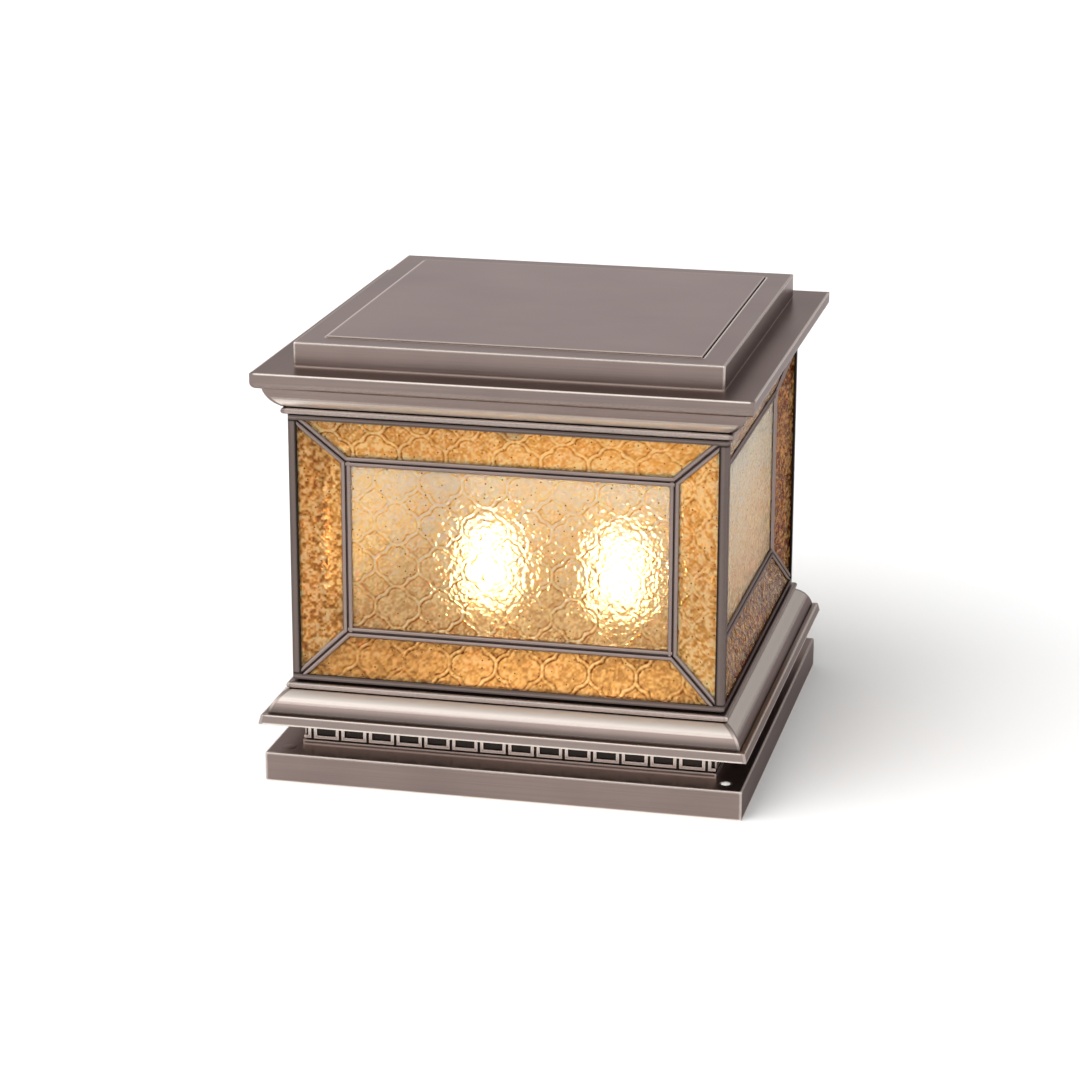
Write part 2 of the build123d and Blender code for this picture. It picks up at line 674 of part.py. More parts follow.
def holder_contact():
    """The brass screw shell and the centre contact inside a lampholder."""
    shell_top = HOLDER_TOP - SOCKET_SHELL_RIM
    shell = upright_rod(0, 0, SOCKET_FLOOR, shell_top, 2 * SHELL_OUTER)
    shell -= upright_rod(0, 0, SOCKET_FLOOR - 1, shell_top + 1, 2 * SHELL_INNER)
    return [shell, upright_rod(0, 0, SOCKET_FLOOR, SOCKET_FLOOR + CONTACT_HEIGHT, CONTACT_DIAMETER)]


def lamp_cap():
    """The lamp's threaded metal cap, with its insulator and tip."""
    crest, root = THREAD_DIAMETER / 2, THREAD_DIAMETER / 2 - THREAD_DEPTH
    tip, tip_top = LAMP_TIP_DIAMETER / 2, LAMP_BOTTOM + LAMP_TIP_HEIGHT
    thread_low = tip_top + LAMP_INSULATOR_HEIGHT
    points = [(0, LAMP_BOTTOM), (tip, LAMP_BOTTOM), (tip, tip_top), (root, thread_low)]
    room = LAMP_COLLAR - thread_low - THREAD_PITCH / 2
    step = THREAD_PITCH / 4
    for turn in range(min(THREAD_TURNS, int(room / THREAD_PITCH))):
        low = thread_low + turn * THREAD_PITCH
        points += [(crest, low + step), (crest, low + 2 * step), (root, low + 3 * step)]
    points += [(root, LAMP_COLLAR), (0, LAMP_COLLAR)]
    return turned_profile(points)


def lamp_body():
    """The lamp's flared body, from the cap's collar to the globe's seat."""
    neck, seat = LAMP_NECK_DIAMETER / 2, GLOBE_SEAT_DIAMETER / 2
    waist = LAMP_COLLAR + LAMP_BODY_HEIGHT / 4
    outline = [
        Polyline((0, GLOBE_BOTTOM), (0, LAMP_COLLAR), (neck, LAMP_COLLAR), (neck, waist)),
        Spline((neck, waist), (seat, GLOBE_BOTTOM), tangents=[(0, 1), (0, 1)]),
        Line((seat, GLOBE_BOTTOM), (0, GLOBE_BOTTOM)),
    ]
    return revolve(Plane.XZ * outline_face(outline), Axis.Z, 360)


def globe_curve(inset):
    """The side of the globe from its seat to its tip: it swells to its full width, then draws in."""
    seat, full = GLOBE_SEAT_DIAMETER / 2 - inset, GLOBE_DIAMETER / 2 - inset
    swell, tip = GLOBE_BOTTOM + GLOBE_HEIGHT / 3, GLOBE_BOTTOM + GLOBE_HEIGHT - inset
    flare = (full - seat, swell - GLOBE_BOTTOM)
    lower = Spline((seat, GLOBE_BOTTOM), (full, swell), tangents=[flare, (0, 1)])
    return lower, Spline((full, swell), (0, tip), tangents=[(0, 1), (-1, 0)])


def lamp_globe():
    """The lamp's opal globe, pear-shaped and open where it sits on the body."""
    outer, inner = globe_curve(0), globe_curve(GLOBE_WALL)
    tip = Line(outer[1] @ 1, inner[1] @ 1)
    rim = Line(inner[0] @ 0, outer[0] @ 0)
    return revolve(Plane.XZ * outline_face([*outer, tip, *inner, rim]), Axis.Z, 360)


def cornice_side():
    """One mitred hollow length of the cornice: a bead, an ovolo and a bull-nosed slab."""
    slab_low = CORNICE_TOP - CORNICE_SLAB
    bead_centre = BEAD_HALF - BEAD_RADIUS
    neck_z = CAP_BOTTOM + 2 * BEAD_RADIUS
    soffit = (CORNICE_HALF - CORNICE_NOSE_RADIUS, slab_low)
    crown = (soffit[0] - CORNICE_FILLET, slab_low)
    nose = (CORNICE_HALF, slab_low + CORNICE_NOSE_RADIUS)
    outline = [
        Line((CORNICE_BACK, CAP_BOTTOM), (bead_centre, CAP_BOTTOM)),
        bead_arc(bead_centre, CAP_BOTTOM),
        bulged_arc((bead_centre, neck_z), crown, -OVOLO_BULGE),
        Line(crown, soffit),
        RadiusArc(soffit, nose, -CORNICE_NOSE_RADIUS),
        Polyline(
            nose, (CORNICE_HALF, CORNICE_TOP), (CORNICE_BACK, CORNICE_TOP), (CORNICE_BACK, CAP_BOTTOM)
        ),
    ]
    core_low, core_high = CAP_BOTTOM + CORNICE_WALL, CORNICE_TOP - CORNICE_WALL
    core_back = CORNICE_BACK + CORNICE_WALL
    core_face = CORNICE_HALF - CORNICE_WALL
    core_bead = bead_centre - CORNICE_WALL
    core_crown = (crown[0] - CORNICE_WALL, slab_low)
    core = [
        Polyline((core_back, core_low), (core_bead, core_low), (core_bead, neck_z)),
        bulged_arc((core_bead, neck_z), core_crown, -OVOLO_BULGE),
        Polyline(
            core_crown, (core_crown[0], slab_low + CORNICE_WALL), (soffit[0], slab_low + CORNICE_WALL),
            (core_face, nose[1]), (core_face, core_high), (core_back, core_high), (core_back, core_low),
        ),
    ]
    profile = outline_face(outline)
    arris = profile.vertices().sort_by(lambda corner: corner.X + corner.Y)[-1]
    profile = fillet(arris, ARRIS_RADIUS) - outline_face(core)
    length = mitred_length(profile, 2 * CORNICE_HALF, CAP_BOTTOM, CORNICE_TOP)
    return drilled(length, PAN_SCREWS)


def strip_ring(outer, width, low, high):
    """A square ring of four flat strips, each butted against the next."""
    strip = Pos(outer - width / 2, width / 2, (low + high) / 2) * Box(width, 2 * outer - width, high - low)
    return [turned(strip, angle) for angle in SIDES.values()]


def cap_gasket():
    """The soft seal between the cap and the cage, in four strips."""
    return strip_ring(FRAME_HALF - GASKET_SETBACK, GASKET_WIDTH, FRAME_TOP, CAP_BOTTOM)


def solar_housing():
    """The raised pan on the cornice, with a joggled pocket that takes the panel."""
    pocket_low = SEAL_BOTTOM - HOUSING_SHEET
    housing = rounded_block(HOUSING_HALF, CORNICE_TOP, HOUSING_TOP, HOUSING_EDGE_RADIUS)
    housing -= square_block(HOUSING_HALF - HOUSING_SHEET, CORNICE_TOP - 1, HOUSING_TOP - HOUSING_SHEET)
    housing += square_block(POCKET_HALF + HOUSING_SHEET, pocket_low, HOUSING_TOP - HOUSING_SHEET / 2)
    housing -= square_block(POCKET_HALF, SEAL_BOTTOM, HOUSING_TOP + 1)
    return housing - square_block(PANEL_HALF - PANEL_LEDGE, pocket_low, HOUSING_TOP)


def panel_seal():
    """The flat seal under the edge of the solar panel, in four strips."""
    return strip_ring(PANEL_HALF, PANEL_LEDGE, SEAL_BOTTOM, PANEL_BOTTOM)


def solar_panel():
    """The satin bronze-tinted cover plate of the solar panel."""
    return rounded_block(PANEL_HALF, PANEL_BOTTOM, PANEL_TOP, PANEL_EDGE_RADIUS)


def solar_cells():
    """The cell laminate bonded under the cover plate, inside the housing's opening."""
    return square_block(PANEL_HALF - PANEL_LEDGE - CELLS_EDGE_GAP, CELLS_BOTTOM, PANEL_BOTTOM)


def board_studs():
    """The places of the four studs under the control board."""
    across, along = BOARD_LENGTH / 2 - STUD_INSET, BOARD_WIDTH / 2 - STUD_INSET
    return [(BOARD_CENTRE[0] + x, BOARD_CENTRE[1] + y) for x in (-across, across) for y in (-along, along)]


def ceiling_pan():
    """The tray that closes the cap from below, with an upturned flange against the cornice."""
    pan = square_block(PAN_HALF, CAP_BOTTOM, CAP_BOTTOM + PAN_FLANGE_HEIGHT)
    pan -= square_block(PAN_HALF - PAN_SHEET, PAN_TOP, CAP_BOTTOM + PAN_FLANGE_HEIGHT)
    for x, y in board_studs():
        pan += upright_rod(x, y, PAN_TOP - PAN_SHEET / 2, PAN_TOP + STUD_HEIGHT, STUD_DIAMETER)
    bay = Box(BATTERY_BAY[0], BATTERY_BAY[1], 4 * PAN_SHEET)
    pan -= BATTERY_PLACE * Pos(0, 0, CAP_BOTTOM) * bay
    for (x, y), barrel in ((SWITCH_CENTRE, SWITCH_BARREL_DIAMETER), (GLAND_CENTRE, GLAND_BARREL_DIAMETER)):
        pan -= upright_rod(x, y, CAP_BOTTOM - 1, PAN_TOP + 1, barrel + 2 * SCREW_HOLE_CLEARANCE)
    return drilled(pan, PAN_SCREWS + HATCH_SCREWS)


def cap_clip():
    """A leaf spring under the ceiling pan that grips the inside of the cage's top ring."""
    leg_out = RING_INNER - CLIP_GAP - 2 * CLIP_SHEET
    leg_in = leg_out - CLIP_SHEET
    low = CAP_BOTTOM - CLIP_LEG
    grip = (GLASS_TOP + FRAME_TOP) / 2
    bump_low, bump_high = (leg_out, grip - 2 * CLIP_SHEET), (leg_out, grip + 2 * CLIP_SHEET)
    toe = (leg_in - CLIP_FOOT, CAP_BOTTOM)
    underside = CAP_BOTTOM - CLIP_SHEET
    outline = [
        Polyline(toe, (toe[0], underside), (leg_in, underside), (leg_in, low), (leg_out, low), bump_low),
        ThreePointArc(bump_low, (RING_INNER - CLIP_GAP, grip), bump_high),
        Polyline(bump_high, (leg_out, CAP_BOTTOM), toe),
    ]
    return extrude(Plane.XZ * outline_face(outline), CLIP_WIDTH / 2, both=True)


def battery_box():
    """The box over the cells, open underneath, with a flange on the ceiling pan."""
    length, width = BATTERY_BAY
    outer = Box(length + 2 * BATTERY_WALL, width + 2 * BATTERY_WALL, BAY_TOP + BATTERY_WALL - PAN_TOP)
    box = Pos(0, 0, (PAN_TOP + BAY_TOP + BATTERY_WALL) / 2) * outer
    box += Pos(0, 0, PAN_TOP + BATTERY_WALL / 2) * Box(*BATTERY_FOOT, BATTERY_WALL)
    box -= Pos(0, 0, (PAN_TOP + BAY_TOP) / 2) * Box(length, width, BAY_TOP - PAN_TOP)
    return drilled(BATTERY_PLACE * box, HATCH_SCREWS)


def battery_cells():
    """Two cylindrical cells side by side, lying along X."""
    step = (CELL_DIAMETER + CELL_CLEARANCE) / 2
    cell = Rot(0, 90, 0) * Cylinder(CELL_DIAMETER / 2, CELL_LENGTH)
    return [BATTERY_PLACE * Pos(0, side * step, CELL_AXIS) * cell for side in (-1, 1)]


def battery_hatch():
    """The cover under the cells, with a pad that fills the opening in the ceiling pan."""
    length, width = BATTERY_BAY
    hatch = Pos(0, 0, CAP_BOTTOM - HATCH_SHEET / 2) * Box(*BATTERY_FOOT, HATCH_SHEET)
    pad = Box(length - 2 * CELL_CLEARANCE, width - 2 * CELL_CLEARANCE, HATCH_PAD)
    hatch += Pos(0, 0, CAP_BOTTOM + HATCH_PAD / 2) * pad
    return drilled(BATTERY_PLACE * hatch, HATCH_SCREWS)


def control_board():
    """The charge and dusk-sensing board on its studs, with a coil, two capacitors and a terminal strip."""
    low = PAN_TOP + STUD_HEIGHT
    top = low + BOARD_THICKNESS
    board = Pos(0, 0, (low + top) / 2) * Box(BOARD_LENGTH, BOARD_WIDTH, BOARD_THICKNESS)
    board += Pos(-BOARD_LENGTH / 4, 0, top + COIL_HEIGHT / 2) * Box(COIL_SIZE, COIL_SIZE, COIL_HEIGHT)
    for step in (0, 1):
        x = BOARD_LENGTH / 8 + step * CAPACITOR_DIAMETER * 3 / 2
        board += upright_rod(x, 0, top, top + CAPACITOR_HEIGHT, CAPACITOR_DIAMETER)
    terminal = Box(TERMINAL_LENGTH, TERMINAL_WIDTH, TERMINAL_HEIGHT)
    board += Pos(0, (TERMINAL_WIDTH - BOARD_WIDTH) / 2, top + TERMINAL_HEIGHT / 2) * terminal
    return Pos(BOARD_CENTRE[0], BOARD_CENTRE[1], 0) * board


# The push switch hangs through the ceiling pan with its button underneath
BEZEL_BOTTOM = CAP_BOTTOM - SWITCH_BEZEL_HEIGHT
BUTTON_BOTTOM = BEZEL_BOTTOM - BUTTON_PROUD
BUTTON_TOP = BUTTON_BOTTOM + BUTTON_LENGTH


def switch_body():
    """The switch's barrel and bezel, bored from below for the button and its travel."""
    x, y = SWITCH_CENTRE
    body = upright_rod(x, y, BEZEL_BOTTOM, CAP_BOTTOM, SWITCH_BEZEL_DIAMETER)
    body += upright_rod(x, y, CAP_BOTTOM, CAP_BOTTOM + SWITCH_BARREL_HEIGHT, SWITCH_BARREL_DIAMETER)
    bore_top = BUTTON_TOP + BUTTON_TRAVEL + BUTTON_CLEARANCE
    return body - upright_rod(x, y, BEZEL_BOTTOM - 1, bore_top, BUTTON_DIAMETER + 2 * BUTTON_CLEARANCE)


def power_button():
    """The push button, rounded at its lower edge."""
    button = upright_rod(*SWITCH_CENTRE, BUTTON_BOTTOM, BUTTON_TOP, BUTTON_DIAMETER)
    return fillet(button.edges().filter_by(GeomType.CIRCLE).sort_by(Axis.Z)[0], BUTTON_EDGE_RADIUS)


def cable_gland():
    """The gland for the lamp lead: a hexagonal body, its insert unpierced, and a lock nut on the pan."""
    x, y = GLAND_CENTRE
    bore = GLAND_BARREL_DIAMETER + 2 * SCREW_HOLE_CLEARANCE
    hexagon = RegularPolygon(GLAND_HEX_RADIUS, 6)
    body = Pos(x, y, CAP_BOTTOM - GLAND_HEX_HEIGHT) * extrude(hexagon, GLAND_HEX_HEIGHT)
    body += upright_rod(x, y, CAP_BOTTOM, PAN_TOP + GLAND_BARREL_HEIGHT, GLAND_BARREL_DIAMETER)
    mouth = CAP_BOTTOM - GLAND_HEX_HEIGHT
    body -= upright_rod(x, y, mouth - 1, mouth + GLAND_MOUTH_DEPTH, GLAND_MOUTH_DIAMETER)
    nut = Pos(x, y, PAN_TOP) * extrude(hexagon, GLAND_NUT_HEIGHT)
    nut -= upright_rod(x, y, PAN_TOP, PAN_TOP + GLAND_NUT_HEIGHT, bore)
    return [body, nut]


def lantern_nodes():
    """The fixed lantern: base, plinth, glass cage and lampholders."""
    nodes = {
        "base_tray": [base_tray()],
        "bolt_sleeves": bolt_sleeves(),
        "pedestal": [pedestal()],
        "floor_plate": [floor_plate()],
        "bottom_ring": [bottom_ring()],
        "top_ring": [top_ring()],
        "lantern_screws": [
            place * screw() for place in PEDESTAL_SCREWS + PLINTH_SCREWS + FLOOR_SCREWS + HOLDER_SCREWS
        ],
    }
    side_pieces = {
        "fret": [fret_side()],
        "plinth": [plinth_side()],
        "cames": face_cames(),
        "centre_pane": [centre_pane()],
        "border_panes": [border_pane(index) for index in range(4)],
    }
    for piece, solids in side_pieces.items():
        for side, angle in SIDES.items():
            nodes[f"{piece}_{side}"] = [turned(solid, angle) for solid in solids]
    post = corner_post()
    for corner, angle in zip(("back_right", "back_left", "front_left", "front_right"), SIDES.values()):
        nodes[f"post_{corner}"] = [turned(post, angle)]
    return nodes


def cap_nodes():
    """The cap: cornice, solar panel, battery, board and switch."""
    nodes = {
        "cap_gasket": cap_gasket(),
        "solar_housing": [solar_housing()],
        "panel_seal": panel_seal(),
        "solar_panel": [solar_panel()],
        "solar_cells": [solar_cells()],
        "ceiling_pan": [ceiling_pan()],
        "cap_clips": [turned(cap_clip(), angle) for angle in SIDES.values()],
        "battery_box": [battery_box()],
        "battery_cells": battery_cells(),
        "battery_hatch": [battery_hatch()],
        "control_board": [control_board()],
        "switch_body": [switch_body()],
        "power_button": [power_button()],
        "cable_gland": cable_gland(),
        "cap_screws": [place * screw() for place in PAN_SCREWS + HATCH_SCREWS],
    }
    length = cornice_side()
    for side, angle in SIDES.items():
        nodes[f"cornice_{side}"] = [turned(length, angle)]
    return nodes


def lamp_nodes():
    """The two lamps and the lampholders that they screw into."""
    nodes = {}
    for side, x in {"left": -LAMP_SPACING / 2, "right": LAMP_SPACING / 2}.items():
        place = Pos(x, 0, 0)
        nodes[f"lampholder_{side}"] = [place * lampholder()]
        nodes[f"holder_contact_{side}"] = [place * solid for solid in holder_contact()]
        nodes[f"bulb_{side}_cap"] = [place * lamp_cap()]
        nodes[f"bulb_{side}_body"] = [place * lamp_body()]
        nodes[f"bulb_{side}_globe"] = [place * lamp_globe()]
    return nodes


os.makedirs("parts", exist_ok=True)
for name, pieces in {**lantern_nodes(), **cap_nodes(), **lamp_nodes()}.items():
    solids = [solid for piece in pieces for solid in piece.solids()]
    export_step(solids[0] if len(solids) == 1 else Compound(children=solids), f"parts/{name}.step")
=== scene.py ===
"""Looks of the solar pillar light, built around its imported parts."""

import math

import bpy
import numpy as np
from mathutils import Matrix, Vector


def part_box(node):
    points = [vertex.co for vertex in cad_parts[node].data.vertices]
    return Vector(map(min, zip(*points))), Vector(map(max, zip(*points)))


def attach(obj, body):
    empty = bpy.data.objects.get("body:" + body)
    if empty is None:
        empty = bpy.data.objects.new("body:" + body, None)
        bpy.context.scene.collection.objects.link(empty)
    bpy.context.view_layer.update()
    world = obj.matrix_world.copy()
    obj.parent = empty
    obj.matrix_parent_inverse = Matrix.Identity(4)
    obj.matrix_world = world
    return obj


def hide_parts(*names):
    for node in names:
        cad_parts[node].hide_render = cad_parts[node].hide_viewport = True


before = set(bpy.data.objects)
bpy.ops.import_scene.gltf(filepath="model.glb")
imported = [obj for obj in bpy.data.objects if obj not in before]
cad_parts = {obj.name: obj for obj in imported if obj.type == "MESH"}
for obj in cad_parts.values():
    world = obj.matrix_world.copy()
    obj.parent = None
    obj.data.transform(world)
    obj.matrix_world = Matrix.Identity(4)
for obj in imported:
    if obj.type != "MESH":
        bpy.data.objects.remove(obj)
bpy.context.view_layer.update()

bl_info = {
    "name": "Solar Pillar Light",
    "version": (1, 0, 0),
    "blender": (4, 5, 0),
    "location": "View3D > Sidebar > Pillar Light",
    "description": "Dresses the solar pillar light: pressed glass, brushed bronze, lit lamps and the studio",
    "category": "Object",
}

MM = 0.001
# Each side is a quarter turn about Z from the right-hand side
SIDES = ("right", "back", "left", "front")
CORNERS = ("back_right", "back_left", "front_left", "front_right")
LAMPS = ("left", "right")

# Tone of the plain glass, between the darkest grooves at 0 and the palest crests at 1
PLAIN_TONE = 0.60
# The centre panes: a trellis cell's place across and up, in mm, how mottled the glass is, and how much its
# tone rises from foot to head, with the share of the height at which it is the sheet's own
CENTRE_CELL = (-70.3, 138.2)
CENTRE_MOTTLED = 0.35
CENTRE_RISE, CENTRE_LEVEL = 0.40, 0.42
# How each border pane was cut from its patterned sheet, for bottom, right, top and left: a cell's place along
# the pane and out from the inner came, in mm, how strongly the trellis is pressed, how mottled the glass is,
# and how much paler than the rest its tone is made
BORDER_CUTS = ((7.5, 15.3, 1.0, 0.5, -0.05), (-7.5, 27.0, 0.7, 0.7, 0.10), (-5.8, 6.8, 1.0, 0.5, 0.10),
               (0.0, 0.0, 0.0, 1.0, -0.02))
# The left and right sides, whose border glass is painted darker as shade: how strongly their centre panes
# are pressed, and for their border panes the share of the pressing that is left, how mottled they are at
# least, and how much their tone is changed
SHADED_SIDES = ("left", "right")
SIDE_CENTRE_PRESSED = 0.35
SIDE_BORDER_PRESSED, SIDE_BORDER_MOTTLED, SIDE_BORDER_SHADE = 0.4, 0.7, -0.30
# First seeds of the panes' random draws, and the step from one border pane's to the next
CENTRE_SEED, BORDER_SEED, SEED_STEP = 11, 40, 4

# Distances of the fret's ground and of its rings from the middle of the lantern, in mm
FRET_GROUND, FRET_FACE = 129.2, 130.2
# The plinth's foot: heights of its shelf and of the end of the painted shade above it, in mm, the painted
# shade's strength on the shelf, and how much paler the lip below is painted, as painted light
PLINTH_FOOT = (44.5, 51.0, 0.6, 0.06)

# Brightness of the studio's walls, behind and in front, against how far the direction of a look points up,
# and the share of it against how far that direction points to the right
BRIGHTEST = 2.4
WALL_BEHIND = ((0.36, 1.0), (0.6, 0.5))
WALL_AHEAD = ((0.0, 1.0), (0.14, 0.95), (0.25, 0.6), (0.44, 2.1), (0.70, 2.1), (0.90, 0.6))
WALL_ACROSS = ((0.0, 1.0), (0.25, 0.5), (0.6, 0.5), (0.9, 0.8))
FLOOR_REACH = 100.0


def linear(code):
    """An sRGB hex colour as linear red, green and blue."""
    parts = np.array([int(code[i:i + 2], 16) for i in (1, 3, 5)]) / 255
    return tuple(np.where(parts <= 0.04045, parts / 12.92, ((parts + 0.055) / 1.055) ** 2.4).tolist())


def rgba(colour):
    """A linear colour with full alpha, as colour sockets take it."""
    return (*colour, 1.0)


def per(size):
    """Pattern repeats per metre for a feature of this size in millimetres."""
    return 1 / (size * MM)


def node(tree, kind, inputs=None, stops=(), **settings):
    """Adds a node, sets its properties, fills or links its inputs, by name or by number where they share one,
    and gives a colour ramp its stops of position and linear colour."""
    made = tree.nodes.new(kind)
    for key, value in settings.items():
        setattr(made, key, value)
    for key, value in (inputs or {}).items():
        if isinstance(value, bpy.types.NodeSocket):
            tree.links.new(value, made.inputs[key])
        else:
            made.inputs[key].default_value = value
    if stops:
        elements = made.color_ramp.elements
        while len(elements) < len(stops):
            elements.new(0.5)
        for element, (position, colour) in zip(elements, stops):
            element.position = position
            element.color = rgba(colour)
    return made


def surface(name, **inputs):
    """A material of one Principled shader, with its uniform values set on the shader's own sockets."""
    made = bpy.data.materials.new(name)
    made.use_nodes = True
    tree = made.node_tree
    tree.nodes.clear()
    values = {key.replace("_", " "): value for key, value in inputs.items()}
    shader = node(tree, "ShaderNodeBsdfPrincipled", values)
    node(tree, "ShaderNodeOutputMaterial", {"Surface": shader.outputs[0]})
    coords = node(tree, "ShaderNodeTexCoord").outputs["Object"]
    return made, tree, shader, coords


def grey_stops(brightest, levels):
    """Ramp stops of plain grey from (position, level) pairs, as shares of the brightest level."""
    return [(position, (level / brightest,) * 3) for position, level in levels]


class GlassSettings(bpy.types.PropertyGroup):
    """Sizes and colours of the pressed glass."""

    centre_pitch: bpy.props.FloatVectorProperty(
        name="Centre pitch", description="Trellis repeat in the centre panes, across and up",
        unit="LENGTH", size=2, default=(27.8 * MM, 26.9 * MM))
    border_pitch: bpy.props.FloatVectorProperty(
        name="Border pitch", description="Trellis repeat in the border panes, along and across",
        unit="LENGTH", size=2, default=(29.3 * MM, 28.0 * MM))
    relief: bpy.props.FloatProperty(
        name="Relief", description="Depth of the pressing below the crests", unit="LENGTH",
        default=0.9 * MM, min=0.0)
    grid: bpy.props.FloatProperty(
        name="Grid", description="Spacing of the surface's points", unit="LENGTH",
        default=0.6 * MM, min=0.2 * MM)
    # Ends of the tone ramp: the grooves' colour carries painted shade and the crests' colour painted
    # highlight
    centre_dark: bpy.props.FloatVectorProperty(
        name="Centre, grooves", description="Centre panes in the grooves", subtype="COLOR", size=3,
        default=linear("#a8641a"))
    centre_mid: bpy.props.FloatVectorProperty(
        name="Centre, body", description="Centre panes between grooves and crests", subtype="COLOR", size=3,
        default=linear("#e8d09c"))
    centre_pale: bpy.props.FloatVectorProperty(
        name="Centre, crests", description="Centre panes on the crests", subtype="COLOR", size=3,
        default=linear("#dedcd2"))
    border_dark: bpy.props.FloatVectorProperty(
        name="Border, grooves", description="Border panes in the grooves", subtype="COLOR", size=3,
        default=linear("#6e340f"))
    border_mid: bpy.props.FloatVectorProperty(
        name="Border, body", description="Border panes between grooves and crests", subtype="COLOR", size=3,
        default=linear("#e1b167"))
    border_pale: bpy.props.FloatVectorProperty(
        name="Border, crests", description="Border panes on the crests", subtype="COLOR", size=3,
        default=linear("#f2dca8"))
    speck: bpy.props.FloatVectorProperty(
        name="Seeds", description="The small dark seeds in the glass", subtype="COLOR", size=3,
        default=linear("#7a5326"))


class MetalSettings(bpy.types.PropertyGroup):
    """Colours of the brushed bronze, of its edges, painted bright as highlight and abrasion, and of its
    recesses, dark with patina and painted shade.
    """

    light: bpy.props.FloatVectorProperty(
        name="Bronze, rubbed", description="Lighter tone of the brushed bronze", subtype="COLOR", size=3,
        default=linear("#9d8c85"))
    dark: bpy.props.FloatVectorProperty(
        name="Bronze, patina", description="Darker tone of the brushed bronze", subtype="COLOR", size=3,
        default=linear("#796b68"))
    # The edges' near-white colour: a painted highlight, with some abrasion
    edge: bpy.props.FloatVectorProperty(
        name="Bronze, edges", description="Bright tone of the worn edges", subtype="COLOR", size=3,
        default=linear("#fff4ea"))
    # Dark patina in the hollows, and also painted shade in grooves, where parts meet and on edges painted
    # dark
    patina_and_shade: bpy.props.FloatVectorProperty(
        name="Bronze, recesses", description="Dark patina in grooves and corners", subtype="COLOR", size=3,
        default=linear("#1a1512"))
    streak_length: bpy.props.FloatProperty(
        name="Brush length", description="Length of a brush mark", unit="LENGTH",
        default=90.0 * MM, min=1.0 * MM)
    streak_width: bpy.props.FloatProperty(
        name="Brush width", description="Width of a brush mark", unit="LENGTH",
        default=0.8 * MM, min=0.1 * MM)


class LampSettings(bpy.types.PropertyGroup):
    """Light of the two lamps."""

    colour: bpy.props.FloatVectorProperty(
        name="Glow colour", description="Colour of the lit globes", subtype="COLOR", size=3,
        default=linear("#fff4e2"))
    glow: bpy.props.FloatProperty(
        name="Glow", description="Strength of the lit globes", default=42.0, min=0.0)


class StageSettings(bpy.types.PropertyGroup):
    """Camera, lights and floor."""

    azimuth: bpy.props.FloatProperty(
        name="Azimuth", description="Camera's angle round the lantern from its front", subtype="ANGLE",
        default=math.radians(12.96))
    elevation: bpy.props.FloatProperty(
        name="Elevation", description="Camera's angle above the horizon", subtype="ANGLE",
        default=math.radians(16.78))
    roll: bpy.props.FloatProperty(
        name="Roll", description="Camera's turn about its own line of sight", subtype="ANGLE",
        default=math.radians(0.12))
    distance: bpy.props.FloatProperty(
        name="Distance", description="From the camera to its target", unit="LENGTH", default=2.0757)
    target: bpy.props.FloatVectorProperty(
        name="Target", description="Point that the camera looks at", subtype="TRANSLATION", size=3,
        default=(-0.0094, 0.0, 0.1223))
    lens: bpy.props.FloatProperty(
        name="Lens", description="Focal length on a 36 mm sensor", unit="CAMERA", default=107.0)
    floor: bpy.props.FloatVectorProperty(
        name="Floor colour", description="Colour of the pale floor", subtype="COLOR", size=3,
        default=linear("#f7f7f7"))
    key: bpy.props.FloatProperty(
        name="Key light", description="Strength of the soft key light from the front left", default=2.0,
        min=0.0)
    fill: bpy.props.FloatProperty(
        name="Fill light", description="Strength of the light from all round", default=1.0, min=0.0)


def put_mesh(name, points, faces, smooth):
    """A new mesh object from points and faces; smooth says how many of the first faces shade smoothly."""
    mesh = bpy.data.meshes.new(name)
    mesh.from_pydata(points, [], faces)
    flags = np.zeros(len(mesh.polygons), dtype=bool)
    flags[:smooth] = True
    mesh.polygons.foreach_set("use_smooth", flags)
    mesh.update()
    made = bpy.data.objects.new(name, mesh)
    bpy.context.scene.collection.objects.link(made)
    return made


def lattice_noise(x, y, cell, seed):
    """Smooth random height over a square lattice: each corner has a seeded random value, and between
    corners the values are blended by 3t^2 - 2t^3 in both directions."""
    size = 256
    table = np.random.default_rng(seed).random((size, size))
    gx, gy = x / cell, y / cell
    ix, iy = np.floor(gx).astype(int), np.floor(gy).astype(int)
    tx, ty = gx - ix, gy - iy
    tx, ty = tx * tx * (3 - 2 * tx), ty * ty * (3 - 2 * ty)
    left, right, below, above = ix % size, (ix + 1) % size, iy % size, (iy + 1) % size
    low = table[left, below] * (1 - tx) + table[right, below] * tx
    high = table[left, above] * (1 - tx) + table[right, above] * tx
    return low * (1 - ty) + high * ty


